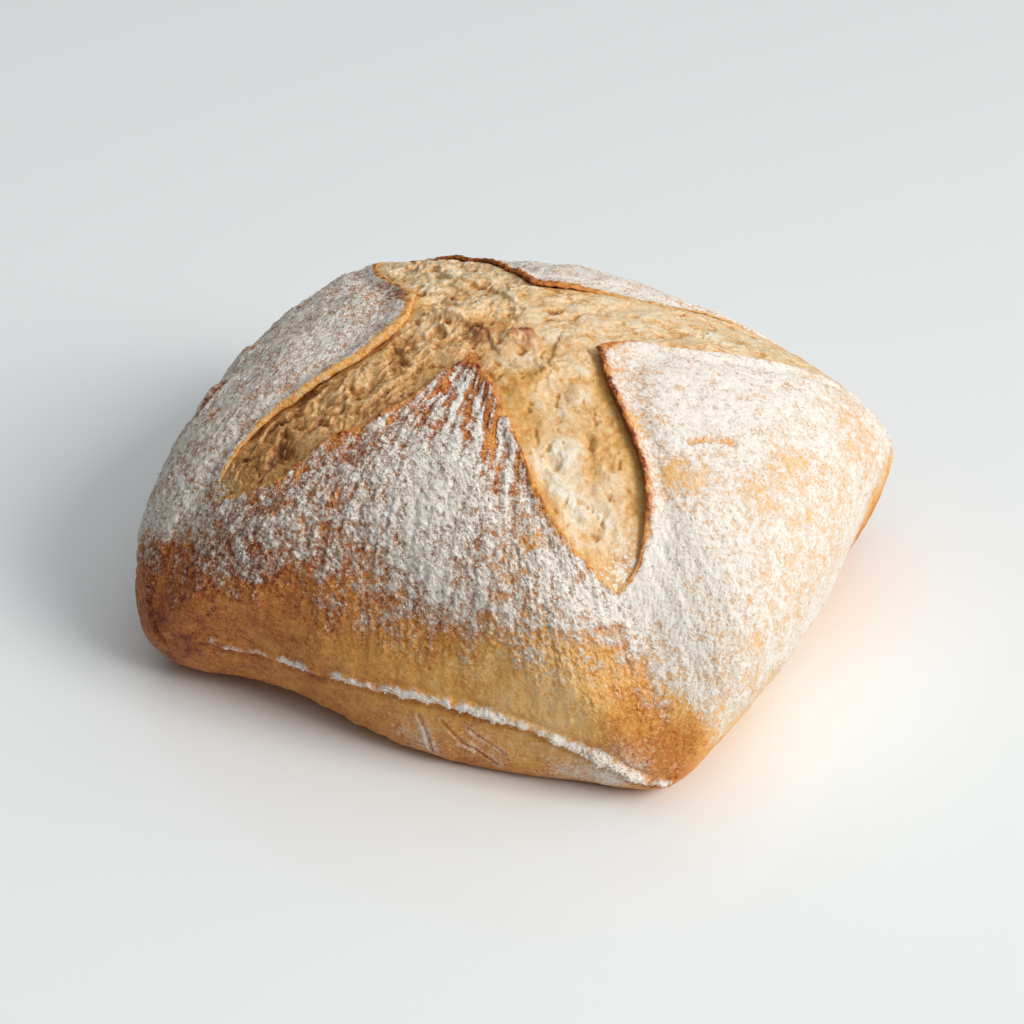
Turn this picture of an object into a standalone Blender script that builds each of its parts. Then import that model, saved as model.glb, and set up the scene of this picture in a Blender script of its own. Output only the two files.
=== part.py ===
"""A square hearth loaf of sourdough, cut with a cross before baking, as one solid.

Metres, +Z up. The origin is on the table under the middle of the loaf. The long sides face
-Y (front) and +Y (back), and the shaping seam runs along the front side. The four arms of the
cross run from the crown to the four corners. Each arm has burst open, and the four flaps of
crust between them curl up a little along their lips.

Directions in plan are bearings: degrees from +X towards +Y.
"""

import itertools
import math

import bpy
import numpy as np
from mathutils import Vector, geometry

# Driving dimensions of the loaf's body
HALF_LENGTH = 0.090  # middle of the loaf to its left or right side
HALF_WIDTH = 0.0775  # middle of the loaf to its front or back side
CROWN_HEIGHT = 0.0938  # table to the top of the dome
SHOULDER_HEIGHT = 0.0425  # table to the widest line, along the sides
DOME_POWER = 1.88  # how flat the crown is
SIDE_FULLNESS = 0.405  # power of the dome's fall towards a side; a smaller one is fuller
CORNER_FULLNESS = 0.61  # the same towards a corner
FOOT_INSET = 0.0232  # widest line to the edge of the flat base, in plan
FOOT_ROUNDNESS = 1.12  # power of the curve below the widest line; a smaller one is squarer

# bearing, table to widest line, reach past the plain outline as a share of the radius,
# degrees over which that reach fades, power of the outline's superellipse (2 is an ellipse)
CORNERS = {
    "left": (224.5, 0.0165, 0.088, 13.0, 4.3),
    "front": (317.3, 0.0115, 0.005, 8.0, 4.3),
    "right": (45.3, 0.0253, 0.138, 16.3, 4.5),
    "back": (135.0, 0.0333, 0.076, 15.7, 5.2),
}
CORNER_SPREAD = 10.6  # degrees over which a corner's own height fades
CORNER_DROOP = 3.0  # power that keeps a corner's own height near the widest line
CORNER_SHARE = 40.0  # degrees over which a corner's power fades into the next one's
SIDES = {  # bearing, bulge as a share of the radius
    "front": (270.0, -0.022),
    "right": (0.0, 0.063),
    "back": (90.0, 0.007),
    "left": (180.0, -0.027),
}
SLUMP = {"bearing": 276.0, "spread": 37.0, "inset": -0.0202, "roundness": -0.56}  # fuller foot
# The front sags over its foot: middle and half span in degrees of bearing, how far it stands out,
# heights where that starts and is full, and what it adds to the foot's inset and roundness
SAG = {
    "bearing": 266.0,
    "span": 46.0,
    "reach": 0.0065,
    "top": 0.060,
    "full": 0.022,
    "inset": 0.0070,
    "roundness": 0.30,
}
# The gap under the front's left half: middle and half span in degrees, least and most height, depth in plan
FOOT_GAP = {"bearing": 244.0, "span": 48.0, "low": 0.0016, "high": 0.0080, "depth": 0.022}

# Lips of the four flaps in plan, from arm end to tip to the next arm end, anticlockwise
ARM_ENDS = {
    "left": (-0.0605, -0.0620),
    "front": (0.0560, -0.0575),
    "right": (0.0775, 0.0610),
    "back": (-0.0640, 0.0590),
}
FLAPS = {
    "front": {
        "ends": ("left", "front"),
        "rising": [
            (-0.0515, -0.0632), (-0.0400, -0.0610), (-0.0290, -0.0515),
            (-0.0175, -0.0430), (-0.0085, -0.0305),
        ],
        "tip": (-0.0028, -0.0208),
        "falling": [
            (0.0075, -0.0290), (0.0170, -0.0375), (0.0280, -0.0485),
            (0.0370, -0.0548), (0.0470, -0.0578),
        ],
        "curl": (0.0010, 0.0024, 0.0004),
    },
    "right": {
        "ends": ("front", "right"),
        "rising": [
            (0.0585, -0.0500), (0.0562, -0.0400), (0.0512, -0.0310),
            (0.0425, -0.0215), (0.0330, -0.0110),
        ],
        "tip": (0.0258, -0.0010),
        "falling": [(0.0320, 0.0085), (0.0440, 0.0170), (0.0560, 0.0305), (0.0690, 0.0460)],
        "curl": (0.0020, 0.0018, 0.0004),
    },
    "back": {
        "ends": ("right", "back"),
        "rising": [
            (0.0640, 0.0620), (0.0490, 0.0595), (0.0345, 0.0475),
            (0.0200, 0.0360), (0.0070, 0.0285),
        ],
        "tip": (-0.0050, 0.0240),
        "falling": [(-0.0150, 0.0345), (-0.0290, 0.0460), (-0.0450, 0.0545)],
        "curl": (0.0014, 0.0018, 0.0012),
    },
    "left": {
        "ends": ("back", "left"),
        "rising": [(-0.0640, 0.0450), (-0.0570, 0.0300), (-0.0460, 0.0165)],
        "tip": (-0.0330, 0.0060),
        "falling": [
            (-0.0298, -0.0080), (-0.0345, -0.0200), (-0.0435, -0.0325),
            (-0.0530, -0.0430), (-0.0595, -0.0540),
        ],
        "curl": (0.0010, 0.0014, 0.0020),
    },
}
CURL_LENGTH = 0.004  # lip to where its curl has faded
TROUGH_DEPTH = 0.0008  # shallow dip of the crust behind a lip
TROUGH_PLACE = 0.010
LIP_RAGGEDNESS = 0.0007  # how far a lip wanders in plan
LIP_THICKNESS = 0.0012
LIP_OVERHANG = 0.0012  # how far the burst runs in under the crust
LIP_DROP = 0.0040  # lip to the crumb below it
ARM_END_FADE = 0.012  # distance from an arm's end over which its lips grow to full height
ARM_END_LIP = 0.18  # share of the lips' height that is left at an arm's end

# The burst between the flaps
CRUMB_SINK = 0.0006  # the crumb's middle under the dome
CRUMB_ROLL = 0.0060  # distance from a lip over which the crumb rises
CRAG_HEIGHT = 0.0020
CRAG_SIZE = 0.0075
CRUMB_PITCH = 0.0029  # spacing of the crumb's points
# Lumps and torn pockets of the crumb in plan: place, height, radius
LUMPS = [
    ((0.0050, -0.0050), 0.0026, 0.0036),
    ((-0.0045, -0.0095), 0.0016, 0.0030),
    ((-0.0180, -0.0060), 0.0018, 0.0050),
    ((-0.0244, 0.0145), -0.0020, 0.0030),
    ((-0.0263, 0.0060), -0.0016, 0.0030),
    ((-0.0268, -0.0331), -0.0020, 0.0035),
    ((-0.0381, -0.0399), -0.0020, 0.0035),
    ((-0.0421, -0.0529), -0.0016, 0.0035),
    ((0.0297, -0.0406), -0.0020, 0.0028),
    ((0.0350, -0.0280), -0.0018, 0.0028),
    ((0.0160, -0.0150), 0.0014, 0.0045),
    ((0.0420, 0.0320), -0.0012, 0.0035),
]

# Relief of the crust
# Splits of the skin in plan: places along each, depth, half width
SPLITS = [
    ([(-0.0810, -0.0400), (-0.0745, -0.0270)], 0.0016, 0.0024),
    ([(0.0589, -0.0178), (0.0632, -0.0129), (0.0681, -0.0100)], 0.0010, 0.0020),
]
WRINKLE_HEIGHT = 0.0006
WRINKLE_SIZE = 0.011
SEAM_HEIGHT = 0.0210
SEAM_RISE = 0.0038  # how much higher it runs where the front sags most
SEAM_MOST_SHARE = 0.72  # of the widest line's height, where that dips at a corner
SEAM_RIDGE = 0.0009
SEAM_CREASE = 0.0008
SEAM_REACH = 62.0  # degrees of bearing from the front's middle to where the seam fades

COLUMNS_PER_FLAP = 44
DOME_ROWS = 11
BAND_ROWS = 3  # rows above the seam and below it


def wrapped(degrees):
    """The same bearing from -180 to 180."""
    return (degrees + 180.0) % 360.0 - 180.0


def faded(x):
    """0 below 0, 1 above 1 and smooth between."""
    x = np.clip(x, 0.0, 1.0)
    return x * x * (3.0 - 2.0 * x)


def hashed(cell, seed):
    """Three values from -1 to 1 for each whole-numbered cell."""
    x, y, z = (cell[..., i].astype(np.uint64) for i in range(3))
    mixed = x * np.uint64(73856093) ^ y * np.uint64(19349663) ^ z * np.uint64(83492791)
    mixed = mixed ^ np.uint64(seed * 2654435761 % 2**32)
    values = []
    for _ in range(3):
        mixed = (mixed ^ (mixed >> np.uint64(15))) * np.uint64(2246822519) % np.uint64(2**32)
        mixed = (mixed ^ (mixed >> np.uint64(13))) * np.uint64(3266489917) % np.uint64(2**32)
        values.append(mixed.astype(np.float64) / 2**31 - 1.0)
    return np.stack(values, axis=-1)


def smooth_noise(points, size, seed):
    """Noise from about -1 to 1 at each point, with features about size across."""
    places = points / size + 512.0
    cell = np.floor(places)
    part = places - cell
    ease = part**3 * (part * (part * 6.0 - 15.0) + 10.0)
    total = np.zeros(places.shape[:-1])
    for corner in itertools.product((0.0, 1.0), repeat=3):
        corner = np.array(corner)
        weight = np.prod(np.where(corner > 0.5, ease, 1.0 - ease), axis=-1)
        total += weight * np.sum(hashed((cell + corner), seed) * (part - corner), axis=-1)
    return total * 1.6


def near(bearing, middle, spread):
    """1 at the middle bearing, fading to 0 over about the spread."""
    return np.exp(-((wrapped(bearing - middle) / spread) ** 2))


def side_weight(bearing, middle):
    """1 at a side's middle, 0 at its corners and beyond."""
    off = np.radians(wrapped(bearing - middle))
    return np.where(np.abs(off) < math.pi / 4, np.cos(2.0 * off) ** 2, 0.0)


def within(bearing, place):
    """1 at a place's middle bearing, fading to 0 at the ends of its span."""
    return faded(1.0 - np.abs(wrapped(bearing - place["bearing"])) / place["span"])


def sag_reach(bearing, height):
    """How far the sagging front stands out at each height."""
    grown = faded((SAG["top"] - height) / (SAG["top"] - SAG["full"]))
    return SAG["reach"] * within(bearing, SAG) * grown


def shoulder_height(bearing):
    total = SHOULDER_HEIGHT
    for corner in CORNERS.values():
        total = total + near(bearing, corner[0], CORNER_SPREAD) * (corner[1] - SHOULDER_HEIGHT)
    return total


def squareness(bearing):
    weights = [near(bearing, corner[0], CORNER_SHARE) for corner in CORNERS.values()]
    return sum(weight * corner[4] for weight, corner in zip(weights, CORNERS.values())) / sum(weights)


def plan_gain(bearing):
    """How far the widest line lies outside the plain superellipse, as a factor."""
    corners = sum(near(bearing, at, spread) * reach for at, _, reach, spread, _ in CORNERS.values())
    return 1.0 + corners + sum(side_weight(bearing, at) * bulge for at, bulge in SIDES.values())


def plan_radius(bearing, share):
    """Radius of the dome's level that is share of the way from crown to widest line."""
    angle = np.radians(bearing)
    power = 2.0 + (squareness(bearing) - 2.0) * share**1.5
    along = (np.abs(np.cos(angle)) / HALF_LENGTH) ** power
    across = (np.abs(np.sin(angle)) / HALF_WIDTH) ** power
    return share * (along + across) ** (-1.0 / power) * (1.0 + (plan_gain(bearing) - 1.0) * share**2)


def dome_height(bearing, share):
    corner = np.abs(np.sin(2.0 * np.radians(bearing))) ** 2
    fullness = SIDE_FULLNESS + (CORNER_FULLNESS - SIDE_FULLNESS) * corner
    low = SHOULDER_HEIGHT + (shoulder_height(bearing) - SHOULDER_HEIGHT) * share**CORNER_DROOP
    return low + (CROWN_HEIGHT - low) * (1.0 - np.clip(share, 0.0, 1.0) ** DOME_POWER) ** fullness


def around(radius, bearing, height):
    angle = np.radians(bearing)
    return np.stack([radius * np.cos(angle), radius * np.sin(angle), height], axis=-1)


def dome_place(plan):
    """Bearing and share of each plan point. The share is found by halving the interval."""
    bearing = np.degrees(np.arctan2(plan[..., 1], plan[..., 0]))
    radius = np.hypot(plan[..., 0], plan[..., 1])
    low, high = np.zeros_like(radius), np.ones_like(radius)
    for _ in range(30):
        middle = (low + high) / 2.0
        inside = plan_radius(bearing, middle) < radius
        low, high = np.where(inside, middle, low), np.where(inside, high, middle)
    return bearing, (low + high) / 2.0


def crust_relief(points, bearing):
    """Height of the crust's wrinkles, which run down from the crown."""
    run = np.radians(bearing) * HALF_WIDTH
    slant = np.stack([run, np.zeros_like(run), points[..., 2] * 0.35], axis=-1)
    relief = smooth_noise(points, WRINKLE_SIZE, 3) + smooth_noise(slant, WRINKLE_SIZE * 0.7, 4)
    relief = WRINKLE_HEIGHT * 0.6 * relief
    for places, depth, half_width in SPLITS:
        relief = relief - depth * np.exp(-((gap_to_line(points[..., :2], places) / half_width) ** 2))
    return relief


def gap_to_line(plan, places):
    """Distance in plan from each point to a line of straight pieces."""
    gaps = []
    for start, end in zip(np.array(places), np.array(places)[1:]):
        run = end - start
        share = np.clip(np.sum((plan - start) * run, axis=-1) / run.dot(run), 0.0, 1.0)
        gaps.append(np.linalg.norm(plan - start - share[..., None] * run, axis=-1))
    return np.min(gaps, axis=0)


def smooth_line(points, count):
    """count points evenly spaced along a smooth line through the given ones."""
    points = np.array(points)
    padded = np.vstack([2 * points[0] - points[1], points, 2 * points[-1] - points[-2]])
    steps = np.linspace(0.0, 1.0, 24, endpoint=False)[:, None]
    pieces = []
    for before, start, end, after in zip(padded, padded[1:], padded[2:], padded[3:]):
        curve = 2 * start + (end - before) * steps
        curve = curve + (2 * before - 5 * start + 4 * end - after) * steps**2
        pieces.append((curve + (3 * start - before - 3 * end + after) * steps**3) / 2.0)
    line = np.vstack([*pieces, points[-1:]])
    run = np.concatenate([[0.0], np.cumsum(np.linalg.norm(np.diff(line, axis=0), axis=1))])
    at = np.linspace(0.0, run[-1], count)
    return np.stack([np.interp(at, run, line[:, i]) for i in range(2)], axis=-1)


def flap_lip(flap):
    """Plan points of a flap's lip, the last one left to the next flap, and the curl at each."""
    start, end = (ARM_ENDS[name] for name in flap["ends"])
    half = COLUMNS_PER_FLAP // 2
    rising = smooth_line([start, *flap["rising"], flap["tip"]], half + 1)
    falling = smooth_line([flap["tip"], *flap["falling"], end], half + 1)
    lip = np.vstack([rising, falling[1:-1]])
    curl = np.interp(np.arange(len(lip)), [half * 0.5, half, half * 1.5], flap["curl"])
    return lip, curl


def whole_lip():
    """The closed lip line round the burst, its curl, and how much of its height it has, from 0 to 1."""
    flaps = [flap_lip(flap) for flap in FLAPS.values()]
    lip = np.vstack([points for points, _ in flaps])
    curl = np.concatenate([values for _, values in flaps])
    ends = np.array(list(ARM_ENDS.values()))
    gap = np.linalg.norm(lip[:, None] - ends[None], axis=2).min(axis=1)
    return lip, curl, ARM_END_LIP + (1.0 - ARM_END_LIP) * faded(gap / ARM_END_FADE)


def inward(lip):
    """Unit plan direction from each point of the lip line into the burst."""
    along = np.roll(lip, -1, axis=0) - np.roll(lip, 1, axis=0)
    along /= np.linalg.norm(along, axis=1)[:, None]
    return np.stack([-along[:, 1], along[:, 0]], axis=-1)


def shoulder_bearings(lip_bearing):
    """Bearings where the columns meet the widest line: corner to corner, evenly by length."""
    corners = [CORNERS["left"][0], CORNERS["front"][0]]
    corners += [CORNERS["right"][0] + 360.0, CORNERS["back"][0] + 360.0]
    bearings = []
    for start, end in zip(corners, [*corners[1:], corners[0] + 360.0]):
        fine = np.linspace(start, end, 200)
        edge = around(plan_radius(fine, np.ones_like(fine)), fine, shoulder_height(fine))
        run = np.concatenate([[0.0], np.cumsum(np.linalg.norm(np.diff(edge, axis=0), axis=1))])
        at = np.linspace(0.0, run[-1], COLUMNS_PER_FLAP + 1)[:-1]
        bearings.append(np.interp(at, run, fine))
    found = np.concatenate(bearings)
    return lip_bearing + wrapped(found - lip_bearing)


def outward(points):
    """Unit normals of a grid of rows and columns, pointing out of the loaf."""
    down = np.gradient(points, axis=0)
    across = np.roll(points, -1, axis=1) - np.roll(points, 1, axis=1)
    normal = np.cross(down, across)
    return normal / np.linalg.norm(normal, axis=2)[..., None]


def dome_rows(lip, curl):
    """The crust from the lips out to the widest line."""
    lip_bearing, lip_share = dome_place(lip)
    edge_bearing = shoulder_bearings(lip_bearing)
    step = np.linspace(0.0, 1.0, DOME_ROWS + 1)[:, None]
    bearing = lip_bearing + (edge_bearing - lip_bearing) * step**1.3
    lean = np.arcsin(lip_share)
    share = np.sin(lean + (math.pi / 2 - lean) * step)
    height = dome_height(bearing, share)
    points = around(plan_radius(bearing, share) + sag_reach(bearing, height), bearing, height)
    from_lip = np.linalg.norm(points[..., :2] - lip, axis=2)
    lift = curl * np.exp(-((from_lip / CURL_LENGTH) ** 2))
    lift = lift - TROUGH_DEPTH * np.exp(-(((from_lip - TROUGH_PLACE) / (TROUGH_PLACE / 2)) ** 2))
    points[..., 2] += lift
    return points + outward(points) * crust_relief(points, bearing)[..., None], edge_bearing


def side_rows(bearing):
    """The crust below the widest line, through the seam, down to the edge of the base."""
    slumped = near(bearing, SLUMP["bearing"], SLUMP["spread"])
    sagging = within(bearing, SAG)
    inset = FOOT_INSET + SLUMP["inset"] * slumped + SAG["inset"] * sagging
    roundness = FOOT_ROUNDNESS + SLUMP["roundness"] * slumped + SAG["roundness"] * sagging
    high = shoulder_height(bearing)
    edge = plan_radius(bearing, np.ones_like(bearing))
    reach = faded((SEAM_REACH - np.abs(wrapped(bearing - 270.0))) / 12.0)
    seam = np.minimum(SEAM_HEIGHT + SEAM_RISE * sagging, SEAM_MOST_SHARE * high) / high
    above = [1.0 - (0.91 - seam) * step for step in np.linspace(0.0, 1.0, BAND_ROWS + 1)[1:]]
    gap = within(bearing, FOOT_GAP)
    lift = (FOOT_GAP["low"] + (FOOT_GAP["high"] - FOOT_GAP["low"]) * gap) / high
    steps = np.linspace(0.0, 1.0, BAND_ROWS + 1)
    below = [lift + (seam - 0.09 - lift) * (1.0 - step) for step in steps]
    shares = [*above, seam + 0.045, seam, *below, 0.4 * lift, 0.0 * lift]
    pushes = [*([0.0] * BAND_ROWS), -SEAM_CREASE, SEAM_RIDGE, *([0.0] * (BAND_ROWS + 3))]
    rows = []
    for share, push in zip(shares, pushes):
        turn = np.arcsin((1.0 - share) ** (1.0 / roundness))
        under = FOOT_GAP["depth"] * gap * np.clip(1.0 - share / lift, 0.0, 1.0) ** 1.5
        radius = edge - inset * (1.0 - np.cos(turn) ** roundness) - under + push * reach
        radius = radius + sag_reach(bearing, high * share)
        row = around(radius, bearing, high * share)
        relief = crust_relief(row, bearing) * np.minimum(1.0, share * 4.0)
        rows.append(row + around(relief, bearing, np.zeros_like(bearing)))
    return np.array(rows)


def lip_rows(edge, lip, grown):
    """The lip's torn face and the undercut below it, down to the crumb's border."""
    into = inward(lip)
    rows = []
    for reach, drop in ((0.0003, LIP_THICKNESS), (-LIP_OVERHANG, LIP_DROP)):
        row = edge.copy()
        row[:, :2] += into * (reach * grown)[:, None]
        row[:, 2] -= drop * grown
        rows.append(row)
    return rows


def crumb_height(plan, from_lip):
    """The torn crumb: it swells between the lips, with crags drawn out along the arms."""
    bearing, share = dome_place(plan)
    height = dome_height(bearing, share)
    swell = np.exp(-((from_lip / CRUMB_ROLL) ** 2))
    along = np.stack([plan.sum(axis=1), plan[:, 1] - plan[:, 0]], axis=-1) / math.sqrt(2.0)
    first_arm = faded(0.5 + 2.0 * (np.abs(along[:, 0]) - np.abs(along[:, 1])) / 0.03)
    crags = 0.0
    for weight, stretch, seed in ((first_arm, (0.5, 1.0), 11), (1.0 - first_arm, (1.0, 0.5), 12)):
        places = np.column_stack([along * stretch, height])
        ridge = 1.0 - 2.0 * np.abs(smooth_noise(places, CRAG_SIZE, seed))
        crags = crags + weight * (0.6 * ridge + 0.4 * smooth_noise(places, CRAG_SIZE / 2, seed + 10))
    crags = CRAG_HEIGHT * crags * faded(from_lip / CRUMB_ROLL)
    for place, rise, radius in LUMPS:
        crags = crags + rise * np.exp(-np.sum((plan - place) ** 2, axis=1) / radius**2)
    return height - CRUMB_SINK - (LIP_DROP - CRUMB_SINK) * swell + crags


def inside(plan, outline):
    """Which plan points lie inside a closed outline, by counting the sides to the right of each."""
    start, end = outline, np.roll(outline, -1, axis=0)
    crosses = (start[:, 1] > plan[:, 1, None]) != (end[:, 1] > plan[:, 1, None])
    rise = np.where(crosses, end[:, 1] - start[:, 1], 1.0)
    at = start[:, 0] + (plan[:, 1, None] - start[:, 1]) * (end[:, 0] - start[:, 0]) / rise
    return np.sum(crosses & (at > plan[:, 0, None]), axis=1) % 2 == 1


def crumb_patch(border):
    """Vertices and triangles of the burst inside its border. The border's points come first."""
    outline = border[:, :2]
    low, high = outline.min(axis=0), outline.max(axis=0)
    spots = []
    for row, y in enumerate(np.arange(low[1], high[1], CRUMB_PITCH * 0.866)):
        for x in np.arange(low[0] + CRUMB_PITCH * (row % 2) / 2, high[0], CRUMB_PITCH):
            spots.append((x, y, 0.0))
    spots = np.array(spots)
    spots[:, :2] += smooth_noise(spots, CRUMB_PITCH, 21)[:, None] * CRUMB_PITCH * 0.2
    gap = np.linalg.norm(spots[:, None, :2] - outline[None], axis=2).min(axis=1)
    spots = spots[gap > CRUMB_PITCH * 0.55]
    places = [Vector(point) for point in np.vstack([outline, spots[:, :2]])]
    rim = [(i, (i + 1) % len(outline)) for i in range(len(outline))]
    found = geometry.delaunay_2d_cdt(places, rim, [], 0, 1e-6, True)
    plan, faces, origins = np.array([tuple(p) for p in found[0]]), np.array(found[2]), found[3]
    faces = faces[inside(plan[faces].mean(axis=1), outline)]
    from_lip = np.linalg.norm(plan[:, None] - outline[None], axis=2).min(axis=1)
    points = np.column_stack([plan, crumb_height(plan, from_lip)])
    firsts = [min(sources) for sources in origins]
    number = {index: first for index, first in enumerate(firsts) if first < len(outline)}
    inner = sorted(set(faces.ravel()) - set(number))
    number.update({index: len(outline) + place for place, index in enumerate(inner)})
    return points[inner], [[number[i] for i in face] for face in faces]


def band(upper, lower):
    """Quads between two closed rows of vertex numbers with as many columns."""
    count = len(upper)
    return [(upper[i], lower[i], lower[(i + 1) % count], upper[(i + 1) % count]) for i in range(count)]


def halving_band(outer, inner):
    """Triangles from a closed row to one inside it with half as many columns."""
    count = len(inner)
    faces = []
    for i in range(count):
        a, b, c = outer[2 * i], outer[2 * i + 1], outer[(2 * i + 2) % len(outer)]
        here, after = inner[i], inner[(i + 1) % count]
        faces += [(a, here, b), (b, here, after), (b, after, c)]
    return faces


def base_rows(foot):
    """Rows of the flat base, each with half the columns of the one outside it."""
    shares = (0.82, 0.58, 0.30)
    return [foot[:: 2 ** (level + 1)] * [share, share, 0.0] for level, share in enumerate(shares)]


def centred(vertices):
    """The points moved so that the middle of their box in plan is at the origin."""
    points = np.array(vertices)
    middle = (points.min(axis=0) + points.max(axis=0)) / 2.0
    return points - [middle[0], middle[1], 0.0]


def loaf_mesh():
    lip, curl, grown = whole_lip()
    wander = smooth_noise(np.column_stack([lip, np.zeros(len(lip))]), 0.006, 41) * LIP_RAGGEDNESS
    lip = lip + inward(lip) * (wander * faded(grown))[:, None]
    dome, bearing = dome_rows(lip, curl * grown)
    sides = side_rows(bearing)
    face, border = lip_rows(dome[0], lip, grown)
    grid = np.concatenate([border[None], face[None], dome, sides])
    columns = grid.shape[1]
    vertices = list(grid.reshape(-1, 3))
    rows = [list(range(k * columns, (k + 1) * columns)) for k in range(len(grid))]
    faces = [quad for upper, lower in zip(rows, rows[1:]) for quad in band(upper, lower)]
    crumb, triangles = crumb_patch(border)
    shift = len(vertices)
    vertices += list(crumb)
    faces += [[i if i < columns else i - columns + shift for i in triangle] for triangle in triangles]
    outer = rows[-1]
    for row in base_rows(grid[-1]):
        inner = list(range(len(vertices), len(vertices) + len(row)))
        vertices += list(row)
        faces += halving_band(outer, inner)
        outer = inner
    middle = len(vertices)
    vertices.append(np.zeros(3))
    faces += [(outer[i], middle, outer[(i + 1) % len(outer)]) for i in range(len(outer))]
    return centred(vertices), faces


def crust_material():
    material = bpy.data.materials.new("baked_crust")
    material.use_nodes = True
    shader = material.node_tree.nodes["Principled BSDF"]
    shader.inputs["Base Color"].default_value = (0.62, 0.40, 0.20, 1.0)
    shader.inputs["Roughness"].default_value = 0.75
    shader.inputs["Metallic"].default_value = 0.0
    return material


def main():
    for old in list(bpy.data.objects):
        bpy.data.objects.remove(old)
    vertices, faces = loaf_mesh()
    mesh = bpy.data.meshes.new("loaf")
    mesh.from_pydata([tuple(v) for v in vertices], [], [tuple(f) for f in faces])
    mesh.validate()
    mesh.materials.append(crust_material())
    mesh.shade_smooth()
    mesh.set_sharp_from_angle(angle=math.radians(45.0))
    loaf = bpy.data.objects.new("loaf", mesh)
    bpy.context.scene.collection.objects.link(loaf)


main()
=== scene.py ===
import itertools
import math

import bpy
import numpy as np
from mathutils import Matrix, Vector, kdtree


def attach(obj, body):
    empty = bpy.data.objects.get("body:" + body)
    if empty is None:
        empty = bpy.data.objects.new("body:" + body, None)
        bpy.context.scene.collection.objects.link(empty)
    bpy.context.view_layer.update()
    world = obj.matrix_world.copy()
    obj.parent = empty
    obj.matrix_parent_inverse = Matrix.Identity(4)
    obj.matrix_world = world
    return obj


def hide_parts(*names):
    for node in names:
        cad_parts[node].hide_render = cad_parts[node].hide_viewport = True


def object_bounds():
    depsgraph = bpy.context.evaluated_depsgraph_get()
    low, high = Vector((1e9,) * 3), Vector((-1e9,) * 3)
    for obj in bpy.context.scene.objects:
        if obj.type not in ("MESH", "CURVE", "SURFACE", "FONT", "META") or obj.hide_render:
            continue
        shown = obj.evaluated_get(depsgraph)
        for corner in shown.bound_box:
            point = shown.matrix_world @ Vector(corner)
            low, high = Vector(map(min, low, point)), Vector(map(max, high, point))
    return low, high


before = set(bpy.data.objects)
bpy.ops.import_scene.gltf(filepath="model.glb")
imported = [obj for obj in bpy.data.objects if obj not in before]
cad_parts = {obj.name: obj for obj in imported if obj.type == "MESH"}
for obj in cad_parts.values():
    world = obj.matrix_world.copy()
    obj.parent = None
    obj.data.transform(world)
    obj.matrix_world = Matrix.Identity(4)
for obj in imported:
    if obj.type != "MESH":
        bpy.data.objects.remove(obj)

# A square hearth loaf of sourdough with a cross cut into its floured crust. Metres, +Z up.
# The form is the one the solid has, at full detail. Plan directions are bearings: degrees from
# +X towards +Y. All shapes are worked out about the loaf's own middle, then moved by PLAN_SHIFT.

cad_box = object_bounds()

# From the middle of the solid's box to the loaf's own middle
PLAN_SHIFT = np.array([-0.002839, -0.000733, 0.0])

# The loaf's body
HALF_LENGTH = 0.09
HALF_WIDTH = 0.0775
CROWN_HEIGHT = 0.0938
SHOULDER_HEIGHT = 0.0425  # table to widest line, away from the corners
DOME_POWER = 1.88
SIDE_FULLNESS = 0.405
CORNER_FULLNESS = 0.61
FOOT_INSET = 0.0232
FOOT_ROUNDNESS = 1.12
# Corners: bearing, table to widest line, reach past the plain outline as a share of the radius,
# degrees over which that reach fades, power of the outline's superellipse
CORNERS = {
    "left": (224.5, 0.0165, 0.088, 13.0, 4.3),
    "front": (317.3, 0.0115, 0.005, 8.0, 4.3),
    "right": (45.3, 0.0253, 0.138, 16.3, 4.5),
    "back": (135.0, 0.0333, 0.076, 15.7, 5.2),
}
CORNER_SPREAD = 10.6  # degrees over which a corner's own height fades
CORNER_SHARE = 40.0  # degrees over which a corner's own superellipse fades
CORNER_DROOP = 3.0  # power by which the dome comes down to a corner's height
SQUARING = 1.5  # power by which the round crown turns into the outline's superellipse
# Sides: bearing, bulge past the plain outline as a share of the radius
SIDES = {"front": (270.0, -0.022), "right": (0.0, 0.063), "back": (90.0, 0.007), "left": (180.0, -0.027)}
# The front stands steeper on its foot: middle and spread in degrees of bearing, and what it adds to
# the foot's inset and roundness
SLUMP = {"bearing": 276.0, "spread": 37.0, "inset": -0.0202, "roundness": -0.56}
# The front sags over its foot: middle and half span in degrees of bearing, how far it stands out,
# heights where that starts and is full, and what it adds to the foot's inset and roundness
SAG = {
    "bearing": 266.0,
    "span": 46.0,
    "reach": 0.0065,
    "top": 0.06,
    "full": 0.022,
    "inset": 0.007,
    "roundness": 0.3,
}
# The gap under the front's left half: middle and half span in degrees of bearing, least and most
# height, depth in plan and the power by which it deepens towards the table
FOOT_GAP = {"bearing": 244.0, "span": 48.0, "low": 0.0016, "high": 0.0078, "depth": 0.03, "power": 1.3}

# Where each arm of the cross ends, in plan
ARM_ENDS = {
    "left": (-0.0605, -0.062),
    "front": (0.056, -0.0575),
    "right": (0.0775, 0.061),
    "back": (-0.064, 0.059),
}
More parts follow.
